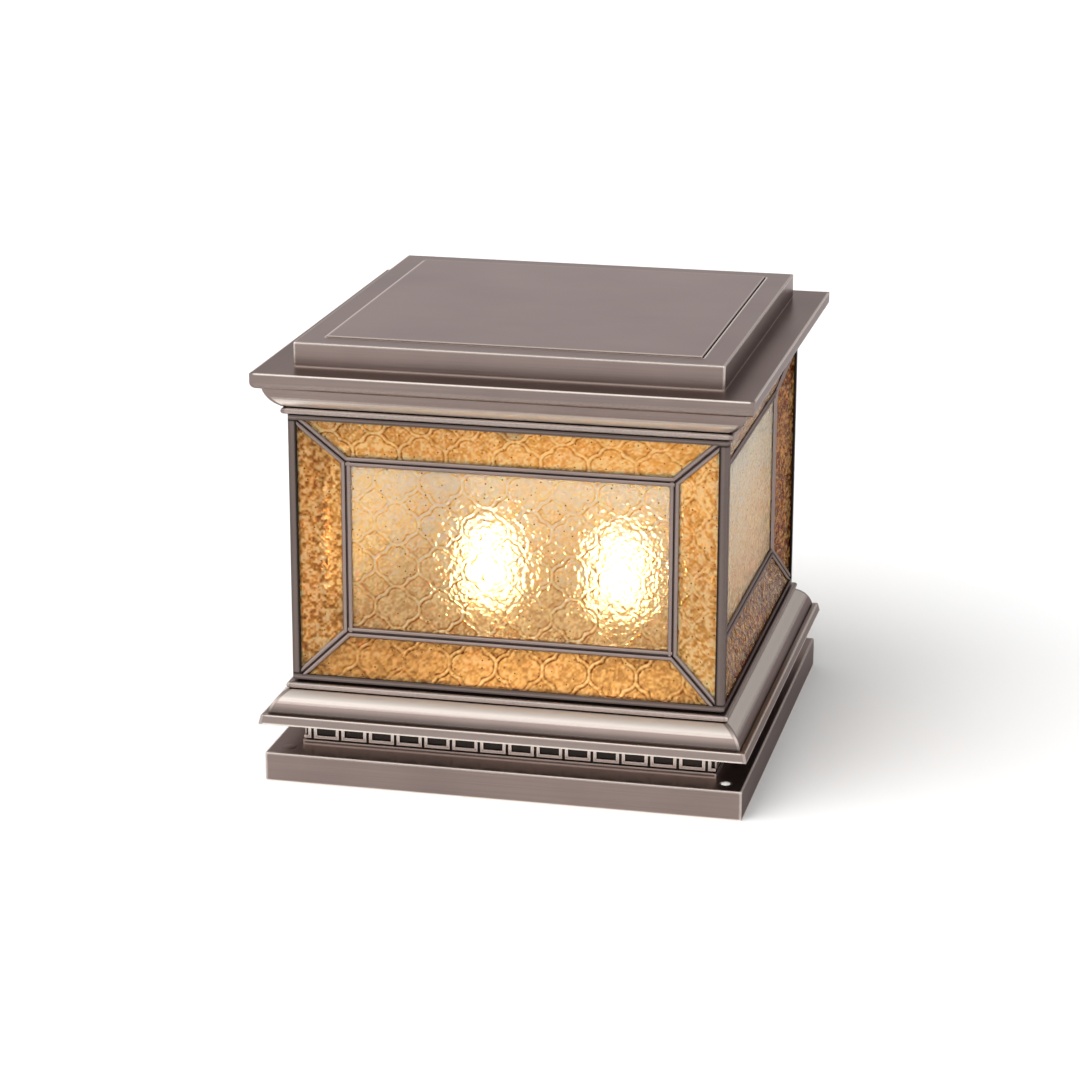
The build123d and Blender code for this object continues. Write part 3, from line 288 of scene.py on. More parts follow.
def trellis(x, y, pitch):
    """Height and tone of the pressed trellis over a plane in mm, as changes from the plain glass; the tone is
    painted highlight and shade that follow the relief. The plane is tiled with four-lobed cells, each the
    union of two side circles and two smaller end circles, in shares of the pitch. The distance to a cell's
    outline is the soft maximum of the depths inside the circles, cut off half-way to the next cell. A raised
    band follows the outline, painted pale as highlight, with a thin groove along each side of it, painted
    dark as shade. Each star between four cells is sunk and painted a little darker as shade, and holds a
    rosette painted paler as highlight: a ring of eight petals, by the cosine of eight times the angle, round
    a button."""
    side_radius, side_place, end_radius, end_place, sharpness = 0.295, 0.22, 0.25, 0.26, 45.0
    band_width, groove_place, groove_width = 0.024, 0.047, 0.016
    star_depth, star_softness = 0.05, 0.008
    ring_radius, ring_width, button_radius, petal_count = 0.115, 0.045, 0.035, 8
    u, v = x / pitch[0], y / pitch[1]
    u, v = np.abs(u - np.round(u)), np.abs(v - np.round(v))
    side = side_radius - np.hypot(u - side_place, v)
    end = end_radius - np.hypot(u, v - end_place)
    union = np.logaddexp(sharpness * side, sharpness * end) / sharpness
    depth = np.minimum(union, np.minimum(0.5 - u, 0.5 - v))
    band = np.exp(-(depth / band_width) ** 2)
    groove = np.exp(-((np.abs(depth) - groove_place) / groove_width) ** 2)
    star = 1 / (1 + np.exp((depth + star_depth) / star_softness))
    reach, angle = np.hypot(0.5 - u, 0.5 - v), np.arctan2(0.5 - v, 0.5 - u)
    petals = np.exp(-((reach - ring_radius) / ring_width) ** 2) * (0.5 + 0.5 * np.cos(petal_count * angle))
    rosette = star * (petals + np.exp(-(reach / button_radius) ** 2))
    height = 0.30 * band - 0.34 * groove - 0.10 * star + 0.30 * rosette
    tone = 0.12 * band - 0.30 * groove - 0.10 * star + 0.14 * rosette
    return height, tone


def glass_sheet(x, y, pitch, pressed, mottled, seed):
    """Height and tone of a rolled sheet, each from 0 to 1: the trellis as strongly as it is pressed, its tone
    stronger and weaker in slow clouds, over a hammered stipple of two sizes, which is deeper the more
    mottled the sheet is, with its hollows painted darker as shade and its bumps paler as highlight."""
    coarse_size, fine_size, cloud_size = 2.4, 1.3, 19.0
    # The finer lattice is moved aside, so that it doesn't line up with the coarser one
    aside, up = 71.3, 37.1
    coarse = lattice_noise(x, y, coarse_size, seed) - 0.5
    fine = lattice_noise(x + aside, y + up, fine_size, seed + 1) - 0.5
    cloud = lattice_noise(x, y, cloud_size, seed + 2) - 0.5
    height, tone = trellis(x, y, pitch)
    tone = tone * (0.75 + 1.1 * cloud)
    stipple = np.tanh(4.5 * (0.5 * coarse + 0.5 * fine))
    level = 0.50 + pressed * height + (0.14 + 0.14 * mottled) * stipple
    shade = PLAIN_TONE + pressed * tone + mottled * (0.34 * stipple + 0.16 * cloud)
    return np.clip(level, 0, 1), np.clip(shade, 0, 1)


def between(corners, rows, columns):
    """A grid of points, bilinear between four corners that go round it."""
    s = np.linspace(0, 1, columns)[None, :, None]
    t = np.linspace(0, 1, rows)[:, None, None]
    c00, c10, c11, c01 = (np.asarray(corner, dtype=float) for corner in corners)
    return (c00 * (1 - s) + c10 * s) * (1 - t) + (c01 * (1 - s) + c11 * s) * t


def pane_solid(corners, outward, level, tone, relief, thickness):
    """One closed pane: its points, its faces with the front first, the number of front faces and the tone
    of each point. The front is a grid between four corners, pressed back from their plane by the relief
    times one less its level. The rim stays in the plane, and four flat edges and one back close it. The
    tone also falls with the slope of the level, from a grid point to the next, towards the upper left: a
    painted highlight on the upper left flank of every bump and painted shade on the lower right one."""
    # Painted light from the upper left: this share of the relief's slope is painted into the tone as shade
    painted_light_from, drawn = np.array([0.0, -0.6, 0.8]), 0.65
    rows, columns = level.shape
    place = between(corners, rows, columns)
    ups, alongs = place[-1, columns // 2] - place[0, columns // 2], place[0, -1] - place[0, 0]
    rise_up, rise_along = np.gradient(level)
    slope = (rise_up * (ups @ painted_light_from) / np.linalg.norm(ups)
             + rise_along * (alongs @ painted_light_from) / np.linalg.norm(alongs))
    tone = np.clip(tone - drawn * slope, 0, 1)
    rim = np.ones((rows, columns))
    rim[0, :] = rim[-1, :] = rim[:, 0] = rim[:, -1] = 0
    front = place - outward * (relief * (1 - level) * rim)[..., None]
    back = np.array(corners, dtype=float) - outward * thickness
    index = np.arange(rows * columns).reshape(rows, columns)
    quads = np.stack([index[:-1, :-1], index[:-1, 1:], index[1:, 1:], index[1:, :-1]], -1).reshape(-1, 4)
    b = rows * columns
    edges = [[b, b + 1, *index[0, ::-1].tolist()], [b + 1, b + 2, *index[::-1, -1].tolist()],
             [b + 2, b + 3, *index[-1, :].tolist()], [b + 3, b, *index[:, 0].tolist()]]
    faces = quads.tolist() + edges + [[b + 3, b + 2, b + 1, b]]
    points = np.vstack([front.reshape(-1, 3), back])
    return points, faces, len(quads), np.concatenate([tone.reshape(-1), np.full(len(back), PLAIN_TONE)])


def turned(points, quarter):
    """Points turned about Z by a number of quarter turns."""
    angle = quarter * math.pi / 2
    c, s = round(math.cos(angle)), round(math.sin(angle))
    return points @ np.array([[c, s, 0], [-s, c, 0], [0, 0, 1]], dtype=float)


def put_panes(name, panes, quarter, material, node_name):
    """One piece from several panes of the right-hand face, turned to its own face in place of a CAD node."""
    points, smooth, flat, tones, start = [], [], [], [], 0
    for pane_points, faces, count, tone in panes:
        shifted = [[i + start for i in face] for face in faces]
        smooth += shifted[:count]
        flat += shifted[count:]
        points.append(pane_points)
        tones.append(tone)
        start += len(pane_points)
    piece = put_mesh(name, turned(np.vstack(points), quarter) * MM, smooth + flat, len(smooth))
    layer = piece.data.attributes.new(name="tone", type="FLOAT", domain="POINT")
    layer.data.foreach_set("value", np.concatenate(tones).astype(np.float32))
    piece.data.materials.append(material)
    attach(piece, "lantern")
    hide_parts(node_name)


def box_mm(name):
    """A CAD node's lowest and highest corners, in mm."""
    return [np.array(corner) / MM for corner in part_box(name)]


def grid_counts(length, width, grid):
    """Rows and columns of a grid of this spacing."""
    return max(2, round(width / grid) + 1), max(2, round(length / grid) + 1)


def border_pane(glass, index, deep, seed):
    """One sloping border pane of the right-hand face: bottom, right, top or left as one looks at it, in
    that order. Its outline is the trapezium between an outer and an inner came line, drawn in from the
    cames' webs, and its pattern is laid out in its own plane: along the came, and out from the inner one.
    With deep set, on the left and right sides, the glass is more mottled and less pressed, and its tone is
    painted darker as shade."""
    came_web, pane_gap, thickness, setback = 0.9, 0.75, 3.0, 1.4
    (_, _, low), (plane, half, high) = box_mm("centre_pane_right")
    inner, low, high = half + pane_gap, low - pane_gap, high + pane_gap
    (_, _, foot), (_, wide, head) = box_mm("cames_right")
    out_plane = box_mm("post_front_right")[1][0] - setback
    outer = [(-wide, foot), (wide, foot), (wide, head), (-wide, head)]
    core = [(-inner, low), (inner, low), (inner, high), (-inner, high)]
    a, b = index, (index + 1) % 4
    far = np.array([(out_plane, *outer[a]), (out_plane, *outer[b])])
    near = np.array([(plane, *core[a]), (plane, *core[b])])
    length = np.linalg.norm(far[1] - far[0])
    along = (far[1] - far[0]) / length
    middle = (near[0] + near[1]) / 2
    slope = (far[0] + far[1]) / 2 - middle
    width = np.linalg.norm(slope)
    slope /= width
    outward = np.cross(along, -slope)
    skew = (length - np.linalg.norm(near[1] - near[0])) / 2
    mitre = math.hypot(skew, width)
    far_in, near_in = came_web * mitre / width, came_web * (mitre - skew) / width
    corners = [far[0] + along * far_in, far[1] - along * far_in,
               near[1] - along * near_in + slope * came_web, near[0] + along * near_in + slope * came_web]
    place = between(corners, *grid_counts(length, width, glass.grid / MM)) - middle
    shift, row, pressed, mottled, paler = BORDER_CUTS[index]
    # On the left and right sides the tone is painted darker, as shade
    if deep:
        pressed, mottled, paler = (pressed * SIDE_BORDER_PRESSED, max(mottled, SIDE_BORDER_MOTTLED),
                                   SIDE_BORDER_SHADE)
    level, tone = glass_sheet(place @ along - shift, place @ slope - row, np.array(glass.border_pitch) / MM,
                              pressed, mottled, seed)
    return pane_solid(corners, outward, level, tone + paler, glass.relief / MM, thickness)


def cathedral_glass(name, dark, mid, pale, speck):
    """Rolled cathedral glass, cast over a patterned roller: a milky body that is lit by what falls on it,
    partly see-through, so that a lamp behind it shows as a broken glow, painted darker as shade in the
    grooves and paler as highlight on the crests, with fine seeds."""
    made, tree, shader, coords = surface(
        name, IOR=1.25, Transmission_Weight=0.65, Specular_IOR_Level=0.05, Subsurface_Weight=1.0,
        Subsurface_Radius=(1.0, 0.8, 0.5), Subsurface_Scale=3 * MM)
    tone = node(tree, "ShaderNodeAttribute", attribute_name="tone").outputs["Fac"]
    body = node(tree, "ShaderNodeValToRGB", {"Fac": tone}, [(0.17, dark), (PLAIN_TONE, mid), (0.84, pale)])
    # Seeds in some of the cells of a scatter, each a small round dot
    seeds = node(tree, "ShaderNodeTexVoronoi", {"Vector": coords, "Scale": per(3.6)}).outputs
    near = node(tree, "ShaderNodeMapRange", {"Value": seeds["Distance"], "From Min": 0.11, "From Max": 0.19,
                                             "To Min": 1.0, "To Max": 0.0}).outputs["Result"]
    chance = node(tree, "ShaderNodeSeparateColor", {"Color": seeds["Color"]}).outputs["Red"]
    some = node(tree, "ShaderNodeMath", {0: chance, 1: 0.4}, operation="GREATER_THAN").outputs[0]
    dots = node(tree, "ShaderNodeMath", {0: near, 1: some}, operation="MULTIPLY").outputs[0]
    colour = node(tree, "ShaderNodeMix", {"Factor": dots, "A": body.outputs["Color"], "B": rgba(speck)},
                  data_type="RGBA")
    tree.links.new(colour.outputs["Result"], shader.inputs["Base Color"])
    cloud = node(tree, "ShaderNodeTexNoise", {"Vector": coords, "Scale": per(18), "Detail": 2.0})
    rough = node(tree, "ShaderNodeMapRange", {"Value": cloud.outputs["Fac"], "To Min": 0.08, "To Max": 0.18})
    tree.links.new(rough.outputs["Result"], shader.inputs["Roughness"])
    # Sharper hammering than the surface's points can hold, which breaks a lamp's edge into flecks
    flecks = node(tree, "ShaderNodeTexNoise", {"Vector": coords, "Scale": per(3.2), "Detail": 1.0})
    bump = node(tree, "ShaderNodeBump", {"Height": flecks.outputs["Fac"], "Strength": 1.0,
                                         "Distance": 1.4 * MM})
    tree.links.new(bump.outputs["Normal"], shader.inputs["Normal"])
    return made


class PILLAR_OT_centre_panes(bpy.types.Operator):
    """Builds the pressed centre pane of each face in the place of its plain pane"""

    bl_idname = "pillar.centre_panes"
    bl_label = "Centre panes"

    def execute(self, context):
        glass = context.scene.pillar_glass
        (deep, _, low), (plane, half, high) = box_mm("centre_pane_right")
        corners = [(plane, -half, low), (plane, half, low), (plane, half, high), (plane, -half, high)]
        place = between(corners, *grid_counts(2 * half, high - low, glass.grid / MM))
        across, up = place[..., 1], place[..., 2]
        pitch = np.array(glass.centre_pitch) / MM
        finish = cathedral_glass("Cream cathedral glass", glass.centre_dark, glass.centre_mid,
                                 glass.centre_pale, glass.speck)
        for quarter, side in enumerate(SIDES):
            pressed = SIDE_CENTRE_PRESSED if side in SHADED_SIDES else 1.0
            level, tone = glass_sheet(across - CENTRE_CELL[0], up - CENTRE_CELL[1], pitch, pressed,
                                      CENTRE_MOTTLED, CENTRE_SEED + quarter)
            # The tone is made a little darker towards the foot of the pane and paler towards its head
            tone = np.clip(tone + CENTRE_RISE * ((up - low) / (high - low) - CENTRE_LEVEL), 0, 1)
            pane = pane_solid(corners, np.array([1.0, 0, 0]), level, tone, glass.relief / MM, plane - deep)
            put_panes(f"centre_glass_{side}", [pane], quarter, finish, f"centre_pane_{side}")
        return {"FINISHED"}


class PILLAR_OT_border_panes(bpy.types.Operator):
    """Builds the four sloping border panes of each face in the place of its plain panes"""

    bl_idname = "pillar.border_panes"
    bl_label = "Border panes"

    def execute(self, context):
        glass = context.scene.pillar_glass
        finish = cathedral_glass("Amber cathedral glass", glass.border_dark, glass.border_mid,
                                 glass.border_pale, glass.speck)
        for quarter, side in enumerate(SIDES):
            first = BORDER_SEED + SEED_STEP * len(BORDER_CUTS) * quarter
            panes = [border_pane(glass, index, side in SHADED_SIDES, first + SEED_STEP * index)
                     for index in range(len(BORDER_CUTS))]
            put_panes(f"border_glass_{side}", panes, quarter, finish, f"border_panes_{side}")
        return {"FINISHED"}


def brush_marks(tree, coords, metal, axis):
    """Noise drawn out along an axis into brush marks. Without an axis the marks run along Y on the faces that
    look along X, and along X on all the others."""
    long, fine = 1 / metal.streak_length, 1 / metal.streak_width
    marks = []
    for lengthwise in ([axis] if axis is not None else [0, 1]):
        scale = [long if k == lengthwise else fine for k in range(3)]
        mapped = node(tree, "ShaderNodeMapping", {"Vector": coords, "Scale": scale}).outputs["Vector"]
        noise = node(tree, "ShaderNodeTexNoise", {"Vector": mapped, "Scale": 1.0, "Detail": 2.0})
        marks.append(noise.outputs["Fac"])
    if axis is not None:
        return marks[0]
    normal = node(tree, "ShaderNodeNewGeometry").outputs["Normal"]
    x = node(tree, "ShaderNodeSeparateXYZ", {"Vector": normal}).outputs["X"]
    x_size = node(tree, "ShaderNodeMath", {0: x}, operation="ABSOLUTE").outputs[0]
    sideways = node(tree, "ShaderNodeMath", {0: x_size, 1: 0.7}, operation="GREATER_THAN").outputs[0]
    return node(tree, "ShaderNodeMix", {"Factor": sideways, "A": marks[0], "B": marks[1]}).outputs["Result"]


def painted_edge_light_and_shade(tree, coords, edge_light_shade_and_wear, mitre, foot):
    """How far each point is brightened, as a painted highlight with some abrasion: up to the edge share on
    edges, where another face lies near inside the metal, less by the mitre's share along the mitres, and
    evenly over the lip below a foot, as painted light."""
    # The reach inside stays under the thinnest wall, so that only an edge finds another face near
    worn_and_highlit = node(tree, "ShaderNodeAmbientOcclusion", {"Distance": 1.3 * MM}, samples=8, inside=True,
                only_local=True)
    # Painted highlight along the edges, with some abrasion
    rubbed = node(tree, "ShaderNodeMapRange", {"Value": worn_and_highlit.outputs["AO"], "From Min": 0.98,
                                               "From Max": 0.82, "To Max": edge_light_shade_and_wear}).outputs["Result"]
    if mitre < 1:
        # Less painted highlight along the mitres, where the real corner is dressed flush
        x, y, _ = node(tree, "ShaderNodeSeparateXYZ", {"Vector": coords}).outputs
        x, y = (node(tree, "ShaderNodeMath", {0: v}, operation="ABSOLUTE").outputs[0] for v in (x, y))
        apart = node(tree, "ShaderNodeMath", {0: x, 1: y}, operation="SUBTRACT").outputs[0]
        apart = node(tree, "ShaderNodeMath", {0: apart}, operation="ABSOLUTE").outputs[0]
        clear = node(tree, "ShaderNodeMapRange", {"Value": apart, "From Min": 2 * MM, "From Max": 3 * MM,
                                                  "To Min": mitre}).outputs["Result"]
        rubbed = node(tree, "ShaderNodeMath", {0: rubbed, 1: clear}, operation="MULTIPLY").outputs[0]
    # The lip below the foot painted evenly a little paler, as painted light
    if foot:
        shelf, _, _, lip_painted_light = foot
        height = node(tree, "ShaderNodeSeparateXYZ", {"Vector": coords}).outputs["Z"]
        lip = node(tree, "ShaderNodeMapRange", {"Value": height, "From Min": (shelf - 0.3) * MM,
                                                "From Max": shelf * MM, "To Min": lip_painted_light, "To Max": 0.0})
        rubbed = node(tree, "ShaderNodeMath", {0: rubbed, 1: lip.outputs["Result"]}, operation="MAXIMUM")
        rubbed = rubbed.outputs[0]
    return rubbed


def patina(tree, coords, groove, sunk, neighbour_shade, foot):
    """How dark each point is made, as patina with painted shade: darkest where the nearest walls, within the
    groove's reach in mm, shut out most of the sky, or else on sunk ground; and, as painted shade only, on the
    shelf above a foot."""
    # Patina with painted shade on the sunk ground, darkest there and gone at the rings' faces
    if sunk:
        axis, ground, face = sunk
        along = node(tree, "ShaderNodeSeparateXYZ", {"Vector": coords}).outputs[axis]
        away = node(tree, "ShaderNodeMath", {0: along}, operation="ABSOLUTE").outputs[0]
        dark = node(tree, "ShaderNodeMapRange", {"Value": away, "From Min": ground * MM,
                                                 "From Max": face * MM, "To Min": 0.96, "To Max": 0.0})
    else:
        # Painted shade with the patina where walls close in; with the neighbours it also falls where parts
        # meet
        sky = node(tree, "ShaderNodeAmbientOcclusion", {"Distance": groove * MM}, samples=8,
                   only_local=not neighbour_shade)
        dark = node(tree, "ShaderNodeMapRange", {"Value": sky.outputs["AO"], "From Min": 0.9,
                                                 "From Max": 0.45, "To Max": 0.95})
    dark = dark.outputs["Result"]
    if foot:
        # Painted shade darkening the lower ovolo, strongest at the shelf and gone at its end
        shelf, end, strength, _ = foot
        height = node(tree, "ShaderNodeSeparateXYZ", {"Vector": coords}).outputs["Z"]
        above = node(tree, "ShaderNodeMath", {0: height, 1: shelf * MM}, operation="GREATER_THAN").outputs[0]
        fading = node(tree, "ShaderNodeMapRange", {"Value": height, "From Min": shelf * MM,
                                                   "From Max": end * MM, "To Min": strength, "To Max": 0.0})
        foot_shade = node(tree, "ShaderNodeMath", {0: above, 1: fading.outputs["Result"]}, operation="MULTIPLY")
        dark = node(tree, "ShaderNodeMath", {0: dark, 1: foot_shade.outputs[0]}, operation="MAXIMUM").outputs[0]
    return dark


def brushed_bronze(name, metal, axis, dim=1.0, edge_light_shade_and_wear=0.85, groove=1.2, sunk=None, slant=0.48, neighbour_shade=False,
                   mitre=1.0, foot=None):
    """Antique bronze lacquer on brushed aluminium: fine brush marks along the length, drawn about twice
    as coarse as real ones so that they show, a satin gloss, edges painted bright as a highlight with some
    abrasion, and dark patina with painted shade in the recesses. The axis is the one that the marks follow,
    or None for a square piece, whose marks follow each of its sides; dim darkens the tone; the edge share
    paints the edges bright as highlight and abrasion, or below 0 paints them dark as shade; groove is how
    far from a wall the patina and painted shade reach, in mm; sunk gives an axis and two distances from the
    middle, in mm, between which the patina and painted shade fade out; slant is how much the lacquer still
    mirrors at a slant; the neighbours flag lets the painted shade follow the neighbours too, as a dark line
    where a came or a post meets the glass; mitre is the share of the painted edge brightening that the
    mitres keep; and foot gives two heights, in mm, the strength of the painted shade that is darkest at the
    lower one and fades out at the upper one, and how much paler the lip below is painted."""
    made, tree, shader, coords = surface(
        name, Metallic=1.0, Specular_Tint=rgba((slant, 0.94 * slant, 0.95 * slant)))
    streak = brush_marks(tree, coords, metal, axis)
    cloud = node(tree, "ShaderNodeTexNoise", {"Vector": coords, "Scale": per(70), "Detail": 3.0})
    blend = node(tree, "ShaderNodeMath", {0: streak, 1: 0.35, 2: 0.325}, operation="MULTIPLY_ADD").outputs[0]
    tone = node(tree, "ShaderNodeMath", {0: cloud.outputs["Fac"], 1: 0.4, 2: blend}, operation="MULTIPLY_ADD")
    dark, light = ([dim * c for c in colour] for colour in (metal.dark, metal.light))
    colour = node(tree, "ShaderNodeValToRGB", {"Fac": tone.outputs[0]}, [(0.35, dark), (0.95, light)])
    colour = colour.outputs["Color"]
    # Edges take the painted highlight colour, or with a share below 0 the dark colour, as painted shade
    edge = metal.edge if edge_light_shade_and_wear > 0 else metal.patina_and_shade
    for share, tint in ((painted_edge_light_and_shade(tree, coords, abs(edge_light_shade_and_wear), mitre, foot), edge),
                        (patina(tree, coords, groove, sunk, neighbour_shade, foot), metal.patina_and_shade)):
        mixed = node(tree, "ShaderNodeMix", {"Factor": share, "A": colour, "B": rgba(tint)}, data_type="RGBA")
        colour = mixed.outputs["Result"]
    tree.links.new(colour, shader.inputs["Base Color"])
    rough = node(tree, "ShaderNodeMapRange", {"Value": streak, "To Min": 0.26, "To Max": 0.40})
    tree.links.new(rough.outputs["Result"], shader.inputs["Roughness"])
    bump = node(tree, "ShaderNodeBump", {"Height": streak, "Strength": 0.08, "Distance": 0.1 * MM})
    tree.links.new(bump.outputs["Normal"], shader.inputs["Normal"])
    return made


def dress(material, *names):
    """Gives CAD nodes a material."""
    for name in names:
        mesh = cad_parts[name].data
        mesh.materials.clear()
        mesh.materials.append(material)


class PILLAR_OT_bronze(bpy.types.Operator):
    """Gives the base, mouldings, cage and cap their brushed bronze"""

    bl_idname = "pillar.bronze"
    bl_label = "Bronze"

    def execute(self, context):
        metal = context.scene.pillar_metal
        dress(brushed_bronze("Brushed antique bronze, square", metal, None, 0.92), "base_tray", "pedestal")
        dress(brushed_bronze("Brushed antique bronze housing", metal, None, slant=0.75), "solar_housing")
        dress(brushed_bronze("Bronze-tinted panel cover", metal, 0, 1.05, 0.4, slant=0.8), "solar_panel")
        # Rails and posts: edges painted dark as shade, and painted shade where they meet the glass
        dress(brushed_bronze("Dark bronze rail", metal, None, 0.75, -0.5, 1.6, neighbour_shade=True),
              "bottom_ring", "top_ring")
        dress(brushed_bronze("Dark bronze post", metal, 2, 0.6, -0.9, 2.4, neighbour_shade=True),
              *(f"post_{corner}" for corner in CORNERS))
        for axis, letter, sides in ((0, "X", ("front", "back")), (1, "Y", ("left", "right"))):
            # The plinth: painted shade over its lower ovolo, and its lip painted a little paler
            plinth = brushed_bronze(f"Brushed bronze plinth, along {letter}", metal, axis, mitre=0.3,
                                    foot=PLINTH_FOOT)
            cornice = brushed_bronze(f"Brushed bronze cornice, along {letter}", metal, axis, 0.9, slant=0.6,
                                     mitre=0.0)
            # Cames: painted shade in their groove and where they meet the glass, no edge brightening
            came = brushed_bronze(f"Gunmetal came, along {letter}", metal, axis, 1.05, 0.0, 1.6, neighbour_shade=True)
            # The fret: its ground between the rings dark with patina and painted shade
            fret = brushed_bronze(f"Cast bronze fret, along {letter}", metal, axis, 1.6, 0.6,
                                  sunk=(1 - axis, FRET_GROUND, FRET_FACE))
            for side in sides:
                dress(plinth, f"plinth_{side}")
                dress(cornice, f"cornice_{side}")
                dress(came, f"cames_{side}")
                dress(fret, f"fret_{side}")
        return {"FINISHED"}


def grained(name, dark, light, grain, rough, bump=0.0, **inputs):
    """A surface whose tone and roughness go together between two limits over a grain of this size in mm,
    which also stands up by the bump, in mm."""
    made, tree, shader, coords = surface(name, **inputs)
    low, high = 0.3, 0.7
    noise = node(tree, "ShaderNodeTexNoise", {"Vector": coords, "Scale": per(grain), "Detail": 3.0})
    noise = noise.outputs["Fac"]
    colour = node(tree, "ShaderNodeValToRGB", {"Fac": noise}, [(low, linear(dark)), (high, linear(light))])
    tree.links.new(colour.outputs["Color"], shader.inputs["Base Color"])
    gloss = node(tree, "ShaderNodeMapRange", {"Value": noise, "From Min": low, "From Max": high,
                                              "To Min": rough[0], "To Max": rough[1]})
    tree.links.new(gloss.outputs["Result"], shader.inputs["Roughness"])
    if bump:
        raised = node(tree, "ShaderNodeBump", {"Height": noise, "Strength": 0.6, "Distance": bump * MM})
        tree.links.new(raised.outputs["Normal"], shader.inputs["Normal"])
    return made


def stripes(tree, coordinate, pitch, width):
    """1 on stripes of this width that repeat at this pitch along a coordinate, both in mm, and 0 between:
    the fraction of the coordinate over the pitch is less than the width's share of it."""
    turns = node(tree, "ShaderNodeMath", {0: coordinate, 1: per(pitch)}, operation="MULTIPLY").outputs[0]
    part = node(tree, "ShaderNodeMath", {0: turns}, operation="FRACT").outputs[0]
    return node(tree, "ShaderNodeMath", {0: part, 1: width / pitch}, operation="LESS_THAN").outputs[0]


def silicon_cells():
    """Monocrystalline silicon, etched and coated: near-black blue cells, ruled with thin silver fingers
    across, drawn thicker than real ones so that they show, and broad silver bars along."""
    made, tree, shader, coords = surface("Coated silicon cells", Roughness=0.25)
    x, y, _ = node(tree, "ShaderNodeSeparateXYZ", {"Vector": coords}).outputs
    fingers, bars = stripes(tree, x, 2.0, 0.25), stripes(tree, y, 26.0, 1.6)
    ruled = node(tree, "ShaderNodeMath", {0: fingers, 1: bars}, operation="MAXIMUM").outputs[0]
    colour = node(tree, "ShaderNodeValToRGB", {"Fac": ruled},
                  [(0.0, linear("#0b1226")), (1.0, linear("#aeb2b8"))])
    tree.links.new(colour.outputs["Color"], shader.inputs["Base Color"])
    return made


def circuit_board():
    """Glass-epoxy board under green solder mask: paler lines where copper tracks run beneath the mask, and
    small bright tinned pads."""
    made, tree, shader, coords = surface("Glass-epoxy board, green mask", Roughness=0.35)
    edge = node(tree, "ShaderNodeTexVoronoi", {"Vector": coords, "Scale": per(3.5)},
                feature="DISTANCE_TO_EDGE")
    track = node(tree, "ShaderNodeMapRange", {"Value": edge.outputs["Distance"], "From Min": 0.05,
                                              "From Max": 0.10, "To Min": 1.0, "To Max": 0.0})
    mask = node(tree, "ShaderNodeValToRGB", {"Fac": track.outputs["Result"]},
                [(0.0, linear("#0f4a2a")), (1.0, linear("#2f8a55"))])
    spots = node(tree, "ShaderNodeTexVoronoi", {"Vector": coords, "Scale": per(2.6)}).outputs["Distance"]
    pad = node(tree, "ShaderNodeMath", {0: spots, 1: 0.2}, operation="LESS_THAN").outputs[0]
    colour = node(tree, "ShaderNodeMix", {"Factor": pad, "A": mask.outputs["Color"],
                                          "B": rgba(linear("#c9cac4"))}, data_type="RGBA")
    tree.links.new(colour.outputs["Result"], shader.inputs["Base Color"])
    return made


class PILLAR_OT_fittings(bpy.types.Operator):
    """Gives the plates, seals, battery, board and switch their finishes"""

    bl_idname = "pillar.fittings"
    bl_label = "Fittings"

    def execute(self, context):
        # Passivated zinc on steel: pale grey with soft clouds of gloss
        dress(grained("Zinc-plated steel", "#96989a", "#c4c6c8", 7.0, (0.28, 0.42), Metallic=1.0),
              "bolt_sleeves", "ceiling_pan", "lantern_screws", "cap_screws", "cap_clips")
        # Sheet that was galvanised and left to dull: matt, so that it throws the lamps' light up softly
        dress(grained("Dulled galvanised steel", "#8f8f8c", "#b5b4af", 9.0, (0.60, 0.78), Metallic=1.0),
              "floor_plate")
        # Moulded rubber: near black and matt, with the fine tooth of its mould
        dress(grained("EPDM rubber", "#0e0e0e", "#1d1d1d", 0.8, (0.75, 0.90), 0.05),
              "cap_gasket", "panel_seal")
        # Moulded plastic from a spark-eroded tool: black, with an even fine grain and a low sheen
        dress(grained("Black ABS, spark grain", "#131314", "#202021", 0.9, (0.42, 0.56), 0.04),
              "battery_box", "battery_hatch", "switch_body", "cable_gland")
        # Shrunk PVC sleeve: strong blue, glossy, slightly uneven over the can
        dress(grained("Shrunk PVC sleeve", "#123f86", "#1c58a8", 11.0, (0.18, 0.30), 0.05), "battery_cells")
        # Moulded button: bright red, smooth, a little duller where fingers press it
        dress(grained("Red polycarbonate", "#a31512", "#c4211c", 3.0, (0.25, 0.40), 0.02), "power_button")
        dress(silicon_cells(), "solar_cells")
        dress(circuit_board(), "control_board")
        return {"FINISHED"}


def revolved(profile, centre):
    """Points and faces of a closed turned solid: each (radius, height) of the profile, in mm from the centre,
    is carried round a vertical axis in equal steps, and the two ends close in a fan to a point on it."""
    steps = 40
    profile = np.array(profile, dtype=float)
    angle = np.arange(steps) * 2 * np.pi / steps
    rings = np.stack([profile[1:-1, :1] * np.cos(angle), profile[1:-1, :1] * np.sin(angle),
                      np.repeat(profile[1:-1, 1:], steps, axis=1)], -1)
    ends = np.array([[0, 0, profile[0, 1]], [0, 0, profile[-1, 1]]])
    points = np.vstack([rings.reshape(-1, 3), ends]) + np.array(centre)
    index = np.arange(rings.shape[0] * steps).reshape(-1, steps)
    following = np.roll(index, -1, axis=1)
    quads = np.stack([index[:-1], index[1:], following[1:], following[:-1]], -1).reshape(-1, 4).tolist()
    top, bottom = index.size, index.size + 1
    fans = [[top, a, b] for a, b in zip(index[0].tolist(), following[0].tolist())]
    fans += [[bottom, b, a] for a, b in zip(index[-1].tolist(), following[-1].tolist())]
    return points, quads + fans


